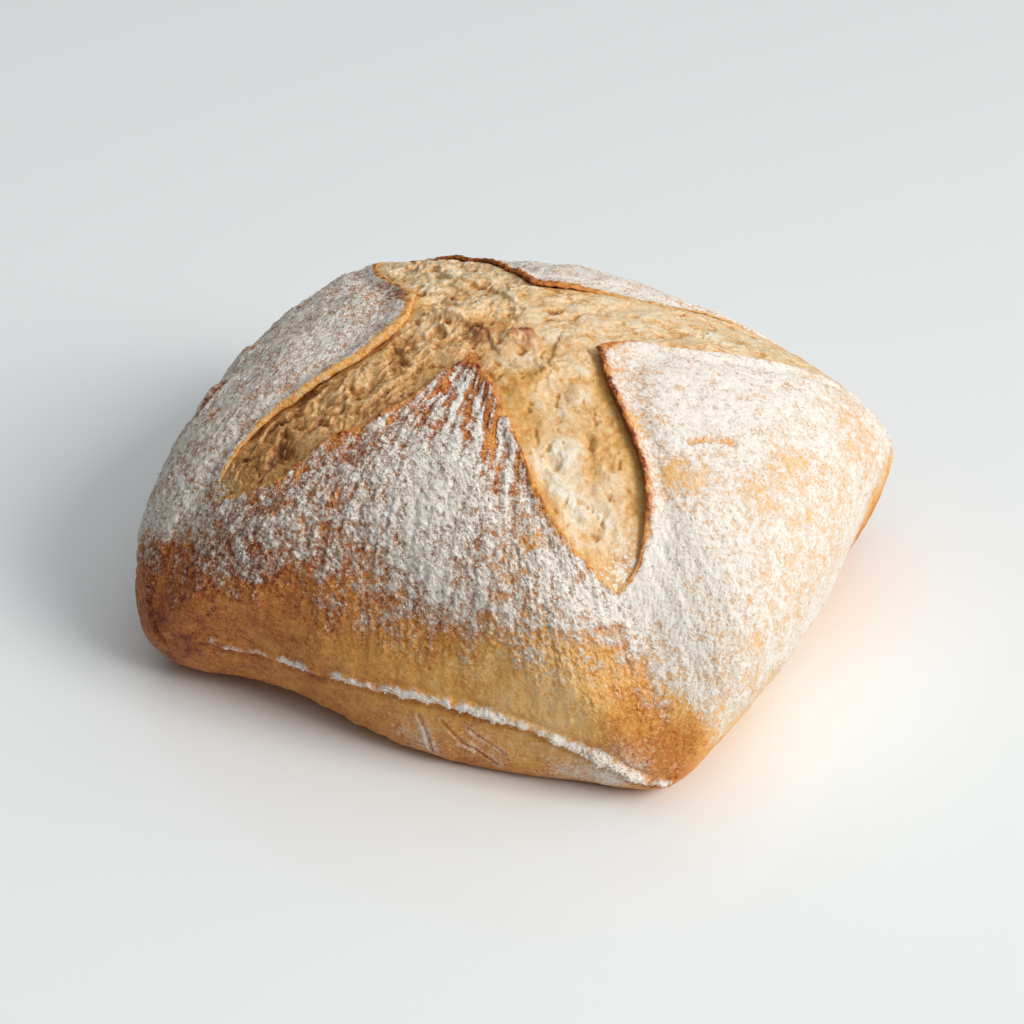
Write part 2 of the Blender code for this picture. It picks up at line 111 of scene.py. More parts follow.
# The four flaps: places in plan along each lip, up to its tip and down again. Then three values, for
# the middle of one lip, the tip and the middle of the other: how far the lip curls up, how thick its
# torn edge is, how far below it the crumb starts, how brown it is, how far back from it the crust
# carries no flour and how ragged it is. Then how much flour the flap carries, how rugged it is and how
# toasted its skin is under the flour, and how many columns and pieces it is made of.
FLAPS = {
    "front": {
        "ends": ("left", "front"),
        "rising": [
            (-0.0515, -0.0632), (-0.04, -0.061), (-0.029, -0.0515), (-0.0175, -0.043), (-0.0085, -0.0305),
        ],
        "tip": (-0.0028, -0.0208),
        "falling": [
            (0.0075, -0.029), (0.017, -0.0375), (0.028, -0.0485), (0.037, -0.0548), (0.047, -0.0578),
        ],
        "curl": (0.001, 0.0022, 0.0002),
        "thickness": (0.0012, 0.0016, 0.0007),
        "drop": (0.0036, 0.0048, 0.0011),
        "brown": (0.5, 0.72, 0.46),
        "bare": (0.0016, 0.0026, 0.0034),
        "ragged": (1.3, 1.0, 0.6),
        "flour": 0.52,
        "rugged": 1.0,
        "toast": 0.64,
        "columns": 400,
        "pieces": 2,
    },
    "right": {
        "ends": ("front", "right"),
        "rising": [
            (0.0585, -0.05), (0.0562, -0.04), (0.0512, -0.031), (0.0425, -0.0215), (0.033, -0.011),
        ],
        "tip": (0.0258, -0.001),
        "falling": [(0.032, 0.0085), (0.044, 0.017), (0.056, 0.0305), (0.069, 0.046)],
        "curl": (0.0014, 0.0012, 0.0001),
        "thickness": (0.0009, 0.001, 0.0005),
        "drop": (0.0034, 0.003, 0.0007),
        "brown": (0.76, 0.7, 0.24),
        "bare": (0.0023, 0.002, 0.0003),
        "ragged": (0.3, 0.6, 0.5),
        "flour": 0.77,
        "rugged": 0.4,
        "toast": 0.22,
        "columns": 280,
        "pieces": 1,
    },
    "back": {
        "ends": ("right", "back"),
        "rising": [(0.064, 0.062), (0.049, 0.0595), (0.0345, 0.0475), (0.02, 0.036), (0.007, 0.0285)],
        "tip": (-0.005, 0.024),
        "falling": [(-0.015, 0.0345), (-0.029, 0.046), (-0.045, 0.0545)],
        "curl": (0.0001, 0.0011, 0.0011),
        "thickness": (0.0003, 0.0012, 0.0012),
        "drop": (0.0001, 0.0016, 0.0018),
        "brown": (0.26, 0.74, 0.7),
        "bare": (0.002, 0.004, 0.0035),
        "ragged": (0.4, 0.7, 0.7),
        "flour": 0.72,
        "rugged": 0.45,
        "toast": 0.36,
        "columns": 200,
        "pieces": 1,
    },
    "left": {
        "ends": ("back", "left"),
        "rising": [(-0.064, 0.045), (-0.057, 0.03), (-0.046, 0.0165)],
        "tip": (-0.033, 0.006),
        "falling": [
            (-0.0298, -0.008), (-0.0345, -0.02), (-0.0435, -0.0325), (-0.053, -0.043), (-0.0595, -0.054),
        ],
        "curl": (0.0006, 0.001, 0.0012),
        "thickness": (0.001, 0.0012, 0.0024),
        "drop": (0.001, 0.001, 0.0034),
        "brown": (0.42, 0.26, 0.24),
        "bare": (0.0018, 0.0018, 0.0013),
        "ragged": (0.7, 0.35, 0.15),
        "flour": 0.68,
        "rugged": 0.6,
        "toast": 0.6,
        "columns": 280,
        "pieces": 1,
    },
}
LIP_MIDDLES = (0.7, 1.0, 1.3)  # where along a lip its three values hold, with the tip at 1
# Lowest height that flour reaches, by bearing
FLOUR_FOOT = [
    (-160, 0.028), (-145, 0.028), (-136, 0.032), (-126, 0.041), (-115, 0.048), (-103, 0.044), (-88, 0.047),
    (-73, 0.042), (-60, 0.046), (-50, 0.04), (-43, 0.032), (-35, 0.022), (-12, 0.012), (10, 0.016),
    (28, 0.036), (45, 0.044), (60, 0.036), (90, 0.032), (135, 0.044), (170, 0.03), (200, 0.028),
]
FLOUR_FOOT_MIDDLE = 20.0  # the bearing in the middle of that list
FLOUR_FADE = 0.028  # height over which the flour thins out there
THIN_FLOUR = 0.3  # cover below which flour counts as thin
SPARSE_FLOUR = 0.2
PLAIN_TOAST = 0.5  # how toasted the skin below the flour is
TOASTED_RIM = 0.0012  # least reach of the brown behind a lip
FLAP_BORDER = 10.0  # degrees over which one flap's looks turn into the next one's
LEAST_WEIGHT = 0.001  # of a flap anywhere, so that the weights never add up to 0
# Places where flour lies thicker or thinner: place, radius, change
FLOUR_PATCHES = [
    ((-0.002, -0.05, 0.083), 0.013, 0.13),
    ((0.004, -0.062, 0.075), 0.012, 0.13),
    ((0.01, -0.074, 0.062), 0.016, 0.26),
    ((-0.03, -0.064, 0.068), 0.014, 0.08),
    ((0.045, -0.062, 0.063), 0.014, 0.24),
    ((0.058, -0.058, 0.056), 0.012, 0.28),
    ((-0.012, -0.074, 0.06), 0.012, -0.16),
    ((0.026, -0.071, 0.062), 0.01, -0.06),
    ((0.02, -0.055, 0.076), 0.014, 0.1),
    ((-0.03, -0.055, 0.076), 0.014, -0.08),
    ((0.056, -0.03, 0.079), 0.006, -0.24),
    ((0.064, -0.027, 0.077), 0.007, -0.28),
    ((0.079, -0.017, 0.071), 0.008, -0.2),
    ((0.0425, -0.02, 0.086), 0.008, -0.3),
    ((0.034, -0.006, 0.09), 0.007, -0.22),
    ((0.0877, 0.0414, 0.056), 0.014, -0.3),
    ((0.066, -0.058, 0.046), 0.014, -0.12),
    ((0.089, -0.027, 0.05), 0.016, -0.18),
    ((0.09, 0.005, 0.052), 0.02, -0.16),
    ((-0.036, 0.014, 0.088), 0.011, -0.26),
    ((0.081, -0.002, 0.07), 0.008, -0.22),
    ((0.087, -0.048, 0.038), 0.012, -0.16),
    ((-0.0105, -0.06, 0.075), 0.012, 0.14),
    ((0.0, -0.028, 0.0915), 0.006, 0.22),
]
# Places where flour lies in streaks down the slope: place, radius, how much
STREAKY_PATCHES = [
    ((-0.01, -0.033, 0.09), 0.009, 0.7),
    ((0.004, -0.033, 0.09), 0.011, 1.0),
    ((0.018, -0.045, 0.083), 0.01, 0.6),
]
# Places where flour lies thinly on the bare crust: place, radius, how much
DUSTINGS = [
    ((0.008, -0.082, 0.009), 0.01, 0.42),
    ((0.046, -0.078, 0.038), 0.013, 0.1),
    ((0.064, -0.073, 0.012), 0.012, 0.5),
    ((0.052, -0.077, 0.006), 0.01, 0.45),
    ((0.03, -0.08, 0.012), 0.012, 0.28),
    ((-0.045, -0.078, 0.012), 0.012, 0.14),
    ((0.092, 0.0, 0.012), 0.03, 0.4),
]
# Places where the crust is baked browner or paler, and where painted light and shade lie on it: place,
# radius, change
TOAST_AND_PAINTED_LIGHT_PATCHES = [
    ((-0.003, -0.024, 0.092), 0.012, 0.12),
    ((-0.077, -0.074, 0.022), 0.015, 0.16),
    ((-0.036, 0.012, 0.089), 0.01, 0.22),
    ((-0.03, 0.05, 0.079), 0.02, 0.2),
    ((0.067, -0.072, 0.024), 0.015, 0.26),
    ((0.09, -0.01, 0.03), 0.03, -0.36),
    ((0.088, 0.041, 0.05), 0.022, -0.16),
    ((0.089, -0.02, 0.058), 0.025, -0.2),
    ((0.01, -0.076, 0.034), 0.022, -0.12),
    # Painted light and shade along the front side: its right end paler, its left end darker
    ((0.05, -0.078, 0.036), 0.028, -0.46),
    ((-0.052, -0.078, 0.032), 0.03, 0.2),
    ((-0.03, -0.078, 0.012), 0.02, -0.04),
    ((0.037, -0.058, 0.07), 0.014, -0.22),
]
CURL_LENGTH = 0.004
TROUGH_DEPTH = 0.0008
TROUGH_PLACE = 0.01  # how far back from the lip the crust dips most
# Near an arm's end: how far from it the lips are full grown, and what is left of their height,
# brownness and bare rim at the end itself
ARM_END_FADE = 0.025
ARM_END_LIP = 0.15
ARM_END_BROWN = 0.22
ARM_END_BARE = 0.2
SMOOTH_LIP_TEAR = 0.35  # how torn the edge of a smooth lip is against a ragged one's
NOSE_ROWS = 7  # rows round the torn edge of a lip
UNDER_ROWS = [(0.0012, 0.0004), (0.0028, 0.0012), (0.0045, 0.003)]  # in under the flap and down

# Relief of the crust
STREAK_HEIGHT = 0.00022
GRAIN_HEIGHT = 0.00056
RIM_WEAR_HEIGHT = 0.00035
RIM_WEAR_LENGTH = 0.0035
WRINKLE_LEAN = 0.35  # how much the slanting wrinkles change with height against length
CALM_FOOT = 0.005  # height over which the relief fades out at the table
FRONT_SIDE = -0.04  # the front side lies below this y
# Noise by name: height or share, size, octaves, seed, and how far each octave fades if not by half
NOISES = {
    "wide lip wander": (0.0006, 0.007, 1, 41),
    "fine lip wander": (0.00055, 0.003, 2, 42, 0.62),
    "lip thickness": (0.3, 0.009, 3, 45),
    "lip curl": (0.45, 0.007, 3, 48),
    "bare rim": (0.6, 0.008, 3, 46),
    "torn edge": (0.00035, 0.003, 2, 47, 0.65),
    "rim wear": (1.0, 0.0036, 3, 57, 0.65),
    "flour foot": (0.006, 0.016, 3, 61),
    "flour cover": (0.09, 0.012, 2, 66),
    "flour clots": (1.0, 0.0038, 3, 53, 0.62),
    "flour grains": (0.6, 0.0016, 2, 55, 0.65),
    "toast": (0.1, 0.018, 3, 68),
    "wrinkles": (0.00036, 0.011, 1, 3),
    "slanting wrinkles": (0.00036, 0.0077, 1, 4),
    "pimples": (0.00016, 0.0022, 3, 56),
    "split width": (0.5, 0.004, 1, 59),
    "long seam bends": (0.0006, 0.013, 1, 71),
    "short seam bends": (0.0008, 0.0035, 1, 72),
    "seam knobs": (0.55, 0.011, 3, 73, 0.6),
    "seam breaks": (1.1, 0.008, 1, 76),
    "lower seam breaks": (1.0, 0.012, 1, 77),
    "torn seam": (0.55, 0.0034, 3, 78, 0.6),
    "crumb warp in x": (0.0026, 0.0075, 3, 81),
    "crumb warp in y": (0.0026, 0.0075, 3, 84),
    "crumb swells": (1.0, 0.01, 3, 91),
    "crumb skin": (1.6, 0.009, 1, 107),
    "crumb grit": (0.0002, 0.0017, 3, 109, 0.6),
    "lump skin": (0.55, 0.0022, 3, 101, 0.6),
    "tear bends in x": (0.0007, 0.003, 1, 103),
    "tear bends in y": (0.0007, 0.003, 1, 104),
    "scorch edges": (0.8, 0.003, 2, 111),
}
# Noise drawn out down the slope, by name: height or share, size, length, octaves, seed
SMEARS = {
    "flour streaks": (1.0, 0.0018, 0.0085, 2, 51),
    "flour foot": (0.004, 0.0035, 0.02, 1, 64),
    "stretched skin": (0.0002, 0.004, 0.016, 1, 58),
}
SMEAR_STEPS = 9
SMEAR_GAIN = 0.27  # keeps a smear's height near that of plain noise
NOISE_GAIN = 1.8  # brings noise to a height of about 1
# Splits of the skin in plan: places along each, depth, half width
SPLITS = [
    ([(-0.082, -0.04), (-0.0795, -0.033), (-0.0765, -0.027)], 0.0032, 0.0012),
    ([(0.0589, -0.0178), (0.0632, -0.0129), (0.0681, -0.01)], 0.0012, 0.0008),
]
# A split's banks are this much wider and lower than its cut. Its depth takes off flour and adds toast
SPLIT_BANKS = (2.4, 0.4)
SPLIT_BARING = 200.0
SPLIT_TOASTING = 130.0
# Bulges of the skin: place, radius, rise
BLISTERS = [
    ((-0.0779, -0.0123, 0.0689), 0.0055, 0.0016),
    ((-0.0775, -0.028, 0.064), 0.005, 0.0012),
    ((0.012, -0.053, 0.08), 0.0035, 0.001),
    ((-0.05, 0.005, 0.084), 0.005, 0.001),
    ((-0.06, -0.02, 0.08), 0.006, 0.0009),
    ((0.056, -0.03, 0.079), 0.0035, 0.0005),
    ((0.0636, -0.028, 0.0769), 0.004, 0.0005),
]
# Folds of the skin seen from the front: places (x, z) along each, depth, half width, flour on its
# banks, which are this much wider and lower than the fold
FOLD_BANKS = (2.6, 0.5)
FRONT_FOLDS = [
    ([(0.0095, 0.019), (0.0112, 0.013), (0.012, 0.006)], 0.0013, 0.0006, 0.38),
    ([(0.016, 0.019), (0.0215, 0.0125), (0.03, 0.006)], 0.0013, 0.0006, 0.34),
    ([(0.023, 0.0185), (0.027, 0.015), (0.033, 0.011)], 0.0009, 0.0005, 0.26),
    ([(-0.0763, 0.029), (-0.0735, 0.023), (-0.07, 0.0165)], 0.0014, 0.0011, 0.0),
]
# The shaping seam: how far along x, its height there before the sag lifts it, how much it stands out
SEAM = [
    (-0.078, 0.0208, 0.0), (-0.06, 0.0208, 0.45), (-0.029, 0.0195, 0.5), (0.001, 0.0211, 0.65),
    (0.017, 0.0226, 0.9), (0.028, 0.023, 1.0), (0.042, 0.0214, 1.0), (0.053, 0.018, 1.0),
    (0.064, 0.0144, 1.0), (0.072, 0.0118, 0.9), (0.08, 0.01, 0.0),
]
SEAM_RISE = 0.0042  # how much the sag lifts it
SEAM_MOST_SHARE = 0.72  # of the height of the widest line
SEAM_WIDTH = (0.0007, 0.0017)  # half width without a knob, and what a full knob adds
SEAM_HEIGHT = (0.0002, 0.0016)
SEAM_SHADOW = (-0.002, 0.001)  # the painted shadow line under it, drawn as darker toast: place over the seam's middle, half width
# Creases over and under it: depth, place over the seam's middle, half width; and a lower ridge
SEAM_CREASES = [(0.0011, -0.0021, 0.0011), (0.0006, 0.0024, 0.0013)]
LOWER_SEAM = (0.0004, -0.004, 0.0008)

# Rows of the crust's columns, which run from the lip over the dome and down the side
DOME_ROWS = 190
SIDE_ROWS = 84
BASE_ROWS = 6
COLUMN_TURN = 1.3  # power by which a column turns from its lip's bearing to its side's
WANDER_FADE = 8  # power by which the lip's wander fades down the columns
SEAM_DOME_ROWS = 40  # rows above the widest line that the seam may reach
# Clumps of flour: how many, smallest and largest radius
CRUST_CLUMPS = (3700, 0.00012, 0.00036)
SEAM_CLUMPS = (800, 0.00014, 0.0004)
CLUMP_SEED = 7
CLUMP_UNEVENNESS = 0.25
CLUMP_FLATTENING = 0.35
CLUMP_LIFT = 0.2  # how far it stands off the crust, as a share of its radius
CLUMP_JITTER = 0.0002
LINE_STEPS = 24  # pieces of a smooth line between two given places
EDGE_STEPS = 300  # places on the widest line along one flap
HALVINGS = 22  # of the interval in which a plan point's share of the dome lies

# The crumb
CRUMB_PITCH = 0.00034
CRUMB_UNDER = 0.0032  # how far the crumb runs in under the flaps
CRUMB_SINK = 0.0006  # how far the crumb lies below the dome
CRUMB_ROLL = 0.0042  # how far from the lip it has come up to that
CRUMB_SLOPE = 0.6  # how steeply it falls in under the flaps
CRAG_GROWTH = 0.005  # how far from the lip the crags are full grown
SWELL_HEIGHT = 0.0009
STRAND_HEIGHT = 0.0005
HOLLOW_DEPTH = 0.0011
HOLLOW_SIZES = (0.0046, 0.0022)
PORE_DEPTH = 0.0009
PORE_PITCH = 0.003
PORE_LEAST = 0.62  # of the pitch's cells, those with a value over this have a pore
ARM_SPREAD = 30.0  # degrees over which an arm's look fades
GOLDEN_RIM = 0.0035
LIP_SHADE = 0.002
TEAR_WIDTH = 0.0004
TEAR_SHADE = 0.0012  # how far the darker line under a tear reaches
# Each arm's crumb: stretch along the arm, how rough it is, its tone, share of smooth skin, seed
ARM_LOOKS = {
    # The left arm's low tone is partly its golden-brown crumb and partly painted shade from the flaps
    # around its valley
    "left": {"stretch": 2.0, "rough": 1.35, "tone": -0.31, "smooth": 0.1, "seed": 95},
    "front": {"stretch": 1.5, "rough": 0.4, "tone": 0.0, "smooth": 1.0, "seed": 115},
    "right": {"stretch": 2.2, "rough": 0.4, "tone": 0.02, "smooth": 0.5, "seed": 135},
    "back": {"stretch": 1.4, "rough": 1.0, "tone": 0.0, "smooth": 0.2, "seed": 155},
}
# Stretched strands of the crumb: share of their height, spacing
WEB = [(0.9, 0.0064), (0.8, 0.0036), (0.5, 0.0019)]
# Lumps and pits of the crumb: place, radius, height
LUMPS = [
    ((0.0053, -0.0058), 0.0034, 0.0032),
    ((0.003, -0.0085), 0.0026, 0.0018),
    ((-0.0045, -0.0095), 0.0028, 0.002),
    ((-0.0075, -0.0085), 0.0024, 0.0016),
    ((-0.018, -0.005), 0.005, 0.0018),
    ((-0.011, 0.004), 0.005, 0.0014),
    ((-0.0244, 0.0145), 0.0022, -0.002),
    ((-0.0263, 0.0065), 0.002, -0.0016),
    ((-0.0418, 0.0312), 0.003, 0.002),
    ((-0.0268, -0.0331), 0.003, -0.0016),
    ((-0.0381, -0.0399), 0.003, -0.0018),
    ((-0.0421, -0.0529), 0.0035, -0.0014),
    ((0.0297, -0.041), 0.0019, -0.0018),
    ((0.0356, -0.0306), 0.002, -0.0016),
    ((0.0246, -0.0385), 0.0014, -0.001),
    ((0.0401, -0.05), 0.0014, -0.0012),
    ((0.016, -0.015), 0.0045, 0.0012),
    ((0.042, 0.032), 0.0035, -0.0012),
]
# Places where the crumb is baked brown: place, radius, how much
SCORCHES = [
    ((0.0053, -0.0058), 0.0038, 1.1),
    ((-0.0042, -0.0095), 0.0034, 0.85),
    ((-0.0418, 0.0312), 0.003, 0.45),
    ((-0.03, 0.04), 0.008, 0.35),
    ((-0.0244, 0.0145), 0.0022, 0.5),
]
# Places where the crumb is paler or darker: place, radius, how much
PALE_PATCHES = [
    ((-0.02, -0.009), 0.009, 0.26),
    ((0.031, -0.04), 0.009, 0.28),
    ((0.043, -0.05), 0.007, 0.4),
    ((-0.048, -0.052), 0.012, -0.08),
]
# Places where its skin is more or less golden: place, radius, how much
GOLDEN_PATCHES = [
    ((0.0385, -0.027), 0.008, 0.55),
    ((0.04, -0.036), 0.006, 0.3),
    ((0.012, -0.024), 0.0065, 0.6),
    ((0.019, -0.034), 0.006, 0.5),
    ((0.018, -0.012), 0.006, 0.35),
    ((0.034, -0.014), 0.005, 0.3),
    ((-0.028, -0.002), 0.005, 0.5),
    ((0.032, -0.042), 0.007, -0.4),
]
# Places where flour has fallen on the crumb: place, radius, how much
CRUMB_DUSTINGS = [
    ((0.056, -0.056), 0.008, 0.46),
    ((0.057, -0.048), 0.005, 0.16),
    ((-0.061, -0.062), 0.006, 0.55),
    ((0.079, 0.062), 0.008, 0.6),
    ((-0.065, 0.06), 0.008, 0.6),
]
# Torn layers: places along the tear, height of the layer to the left of it, how far that reaches
TEARS = [
    (
        [(-0.026, -0.009), (-0.0209, -0.006), (-0.014, -0.005), (-0.0072, -0.0066), (-0.003, -0.01)],
        0.0017,
        0.006,
    ),
    (
        [
            (0.001, -0.0222), (0.0027, -0.022), (0.0094, -0.0206), (0.0151, -0.0192), (0.0174, -0.0149),
            (0.0152, -0.0055),
        ],
        -0.0011,
        0.006,
    ),
    (
        [(-0.038, 0.03), (-0.03, 0.022), (-0.018, 0.02), (-0.008, 0.013)],
        0.001,
        0.005,
    ),
]

# Camera: it looks along its azimuth, from +Y towards -X, and down by its elevation
CAMERA_AZIMUTH = 24.53
CAMERA_ELEVATION = 35.47
CAMERA_DISTANCE = 0.7641
CAMERA_TARGET = (-0.0002, -0.0001, 0.03)
CAMERA_LENS = 93.95
SENSOR_WIDTH = 36.0

# The room's light: where it is brightest, its strength there and on the far side, the cosine at which
# it ends, and its colour
WORLD_TOWARDS = (0.33, 0.16, 0.93)
WORLD_STRENGTH = 1.05
WORLD_LEAST = 0.01
WORLD_EDGE = 0.35
WORLD_COLOUR = (0.94, 0.98, 1.0, 1.0)
# The window: bearing and height in degrees as seen from the loaf, distance, side, watts, colour
WINDOW = {
    "bearing": -5.0,
    "height": 36.0,
    "distance": 4.4,
    "size": 2.2,
    "power": 133.0,
    "colour": (1.0, 0.973, 0.945),
}
FLOOR_SIZE = 6.0
FLOOR_ROUGHNESS = 0.07
FLOOR_COLOUR = (248, 251, 251)


# ------------------------ noise


def faded(x):
    """0 below 0, 1 above 1 and smooth between."""
    x = np.clip(x, 0.0, 1.0)
    return x * x * (3.0 - 2.0 * x)


def bell(distance, width):
    """1 at no distance, falling off over the width."""
    return np.exp(-((distance / width) ** 2))


def scrambled(cell, seed):
    """A number from 0 to 2**32 - 1 for each whole-numbered cell."""
    cell = cell.astype(np.int64).astype(np.uint32)
    mixed = np.full(cell.shape[:-1], seed * 2654435761 % 2**32, np.uint32)
    for axis, factor in zip(range(cell.shape[-1]), (73856093, 19349663, 83492791)):
        mixed = mixed ^ (cell[..., axis] * np.uint32(factor))
    mixed = (mixed ^ (mixed >> np.uint32(15))) * np.uint32(2246822519)
    mixed = (mixed ^ (mixed >> np.uint32(13))) * np.uint32(3266489917)
    return mixed ^ (mixed >> np.uint32(16))


def spread(mixed, part):
    """Ten of a scrambled number's bits, those of part 0, 1 or 2, as a value from -1 to 1."""
    return ((mixed >> np.uint32(10 * part)) & np.uint32(1023)).astype(np.float64) / 511.5 - 1.0


def noise(points, size, seed):
    """Smooth noise from about -1 to 1, with features about size across, in two or three dimensions."""
    places = points / size
    cell = np.floor(places)
    part = places - cell
    ease = part**3 * (part * (part * 6.0 - 15.0) + 10.0)
    total = np.zeros(places.shape[:-1])
    for corner in itertools.product((0.0, 1.0), repeat=places.shape[-1]):
        mixed = scrambled(cell + corner, seed)
        weight = np.ones(places.shape[:-1])
        slope = np.zeros(places.shape[:-1])
        for axis, side in enumerate(corner):
            weight = weight * (ease[..., axis] if side else 1.0 - ease[..., axis])
            slope = slope + spread(mixed, axis) * (part[..., axis] - side)
        total += weight * slope
    return total * NOISE_GAIN


def fractal(points, size, octaves, seed, fade=0.5):
    """Noise with finer noise on it, each octave half the size and fade times the height."""
    return sum(fade**k * noise(points, size / 2.0**k, seed + k) for k in range(octaves))


def textured(points, name):
    """The noise of that name."""
    height, *layers = NOISES[name]
    return height * fractal(points, *layers)


def smeared(points, direction, name):
    """The noise of that name, drawn out along a direction at each point."""
    height, size, length, octaves, seed = SMEARS[name]
    steps = np.linspace(-0.5, 0.5, SMEAR_STEPS)
    return height * SMEAR_GAIN * sum(
        fractal(points + direction * (step * length), size, octaves, seed) for step in steps
    )


def cells(plan, size, seed):
    """Distance to the nearest of one random place in each cell, in cells, and that place's own value."""
    places = plan / size
    cell = np.floor(places)
    nearest, value = np.full(places.shape[:-1], 9.0), np.zeros(places.shape[:-1])
    for corner in itertools.product((-1.0, 0.0, 1.0), repeat=2):
        mixed = scrambled(cell + corner, seed)
        off = [cell[..., i] + corner[i] + 0.5 + 0.45 * spread(mixed, i) - places[..., i] for i in range(2)]
        gap = np.hypot(*off)
        value = np.where(gap < nearest, 0.5 + 0.5 * spread(mixed, 2), value)
        nearest = np.minimum(nearest, gap)
    return nearest, value


# ------------------------ the loaf's form


def wrapped(degrees):
    """The same bearing from -180 to 180."""
    return (degrees + 180.0) % 360.0 - 180.0


def near(bearing, middle, width):
    return bell(wrapped(bearing - middle), width)


def side_weight(bearing, middle):
    off = np.radians(wrapped(bearing - middle))
    return np.where(np.abs(off) < math.pi / 4, np.cos(2.0 * off) ** 2, 0.0)


def within(bearing, place):
    """1 at a place's middle bearing, fading to 0 at the ends of its span."""
    return faded(1.0 - np.abs(wrapped(bearing - place["bearing"])) / place["span"])


def sag_reach(bearing, height):
    """How far the sagging front stands out at each height."""
    grown = faded((SAG["top"] - height) / (SAG["top"] - SAG["full"]))
    return SAG["reach"] * within(bearing, SAG) * grown


def shoulder_height(bearing):
    own = [near(bearing, at, CORNER_SPREAD) * (high - SHOULDER_HEIGHT) for at, high, *_ in CORNERS.values()]
    return SHOULDER_HEIGHT + sum(own)


def squareness(bearing):
    weights = [near(bearing, corner[0], CORNER_SHARE) for corner in CORNERS.values()]
    return sum(weight * corner[4] for weight, corner in zip(weights, CORNERS.values())) / sum(weights)


def plan_gain(bearing):
    corners = sum(near(bearing, at, width) * reach for at, _, reach, width, _ in CORNERS.values())
    return 1.0 + corners + sum(side_weight(bearing, at) * bulge for at, bulge in SIDES.values())


def plan_radius(bearing, share):
    """Radius of the dome's level that is share of the way from crown to widest line."""
    angle = np.radians(bearing)
    power = 2.0 + (squareness(bearing) - 2.0) * share**SQUARING
    along = (np.abs(np.cos(angle)) / HALF_LENGTH) ** power
    across = (np.abs(np.sin(angle)) / HALF_WIDTH) ** power
    return share * (along + across) ** (-1.0 / power) * (1.0 + (plan_gain(bearing) - 1.0) * share**2)


def dome_height(bearing, share):
    corner = np.abs(np.sin(2.0 * np.radians(bearing))) ** 2
    fullness = SIDE_FULLNESS + (CORNER_FULLNESS - SIDE_FULLNESS) * corner
    low = SHOULDER_HEIGHT + (shoulder_height(bearing) - SHOULDER_HEIGHT) * share**CORNER_DROOP
    return low + (CROWN_HEIGHT - low) * (1.0 - np.clip(share, 0.0, 1.0) ** DOME_POWER) ** fullness


def around(radius, bearing, height):
    angle = np.radians(bearing)
    return np.stack([radius * np.cos(angle), radius * np.sin(angle), height], axis=-1)


def dome_place(plan):
    """Bearing and share of each plan point. The share is found by halving the interval."""
    bearing = np.degrees(np.arctan2(plan[..., 1], plan[..., 0]))
    radius = np.hypot(plan[..., 0], plan[..., 1])
    low, high = np.zeros_like(radius), np.ones_like(radius)
    for _ in range(HALVINGS):
        middle = (low + high) / 2.0
        inside = plan_radius(bearing, middle) < radius
        low, high = np.where(inside, middle, low), np.where(inside, high, middle)
    return bearing, (low + high) / 2.0


# ------------------------ grids, lines and patches


def cell_corners(grid):
    """What a grid holds at the four corners of each of its cells."""
    return np.stack([grid[:-1, :-1], grid[1:, :-1], grid[1:, 1:], grid[:-1, 1:]], axis=-1)


def whole_cells(kept):
    """Numbers of the corner points of each cell that has all four of them kept."""
    number = np.arange(kept.size).reshape(kept.shape)
    return cell_corners(number)[cell_corners(kept).all(axis=-1)]


def smooth_line(points, count):
    """count points evenly spaced along a smooth line through the given ones."""
    points = np.array(points)
    padded = np.vstack([2 * points[0] - points[1], points, 2 * points[-1] - points[-2]])
    steps = np.linspace(0.0, 1.0, LINE_STEPS, endpoint=False)[:, None]
    pieces = []
    for before, start, end, after in zip(padded, padded[1:], padded[2:], padded[3:]):
        curve = 2 * start + (end - before) * steps
        curve = curve + (2 * before - 5 * start + 4 * end - after) * steps**2
        pieces.append((curve + (3 * start - before - 3 * end + after) * steps**3) / 2.0)
    line = np.vstack([*pieces, points[-1:]])
    run = np.concatenate([[0.0], np.cumsum(np.linalg.norm(np.diff(line, axis=0), axis=1))])
    at = np.linspace(0.0, run[-1], count)
    return np.stack([np.interp(at, run, line[:, i]) for i in range(2)], axis=-1)


def gap_to_line(plan, places):
    """Distance from each plan point to a line of straight pieces, and 1 to the left of it or -1."""
    gap = np.full(plan.shape[:-1], 9.0)
    side = np.ones(plan.shape[:-1])
    for start, end in zip(np.array(places), np.array(places)[1:]):
        run = end - start
        share = np.clip(np.sum((plan - start) * run, axis=-1) / run.dot(run), 0.0, 1.0)
        off = plan - start - share[..., None] * run
        here = np.linalg.norm(off, axis=-1)
        closer = here < gap
        gap = np.where(closer, here, gap)
        side = np.where(closer, np.sign(run[0] * off[..., 1] - run[1] * off[..., 0]), side)
    return gap, side


def patched(points, patches):
    """Sum of the soft round patches (place, radius, amount) at each point."""
    total = 0.0
    for place, size, amount in patches:
        total = total + amount * np.exp(-np.sum((points - place) ** 2, axis=-1) / size**2)
    return total


# ------------------------ lips


def flap_values(flap, name):
    """One of a flap's three-part values at each of its columns."""
    tip = flap["columns"] / 2.0
    return np.interp(np.arange(flap["columns"]), np.array(LIP_MIDDLES) * tip, flap[name])


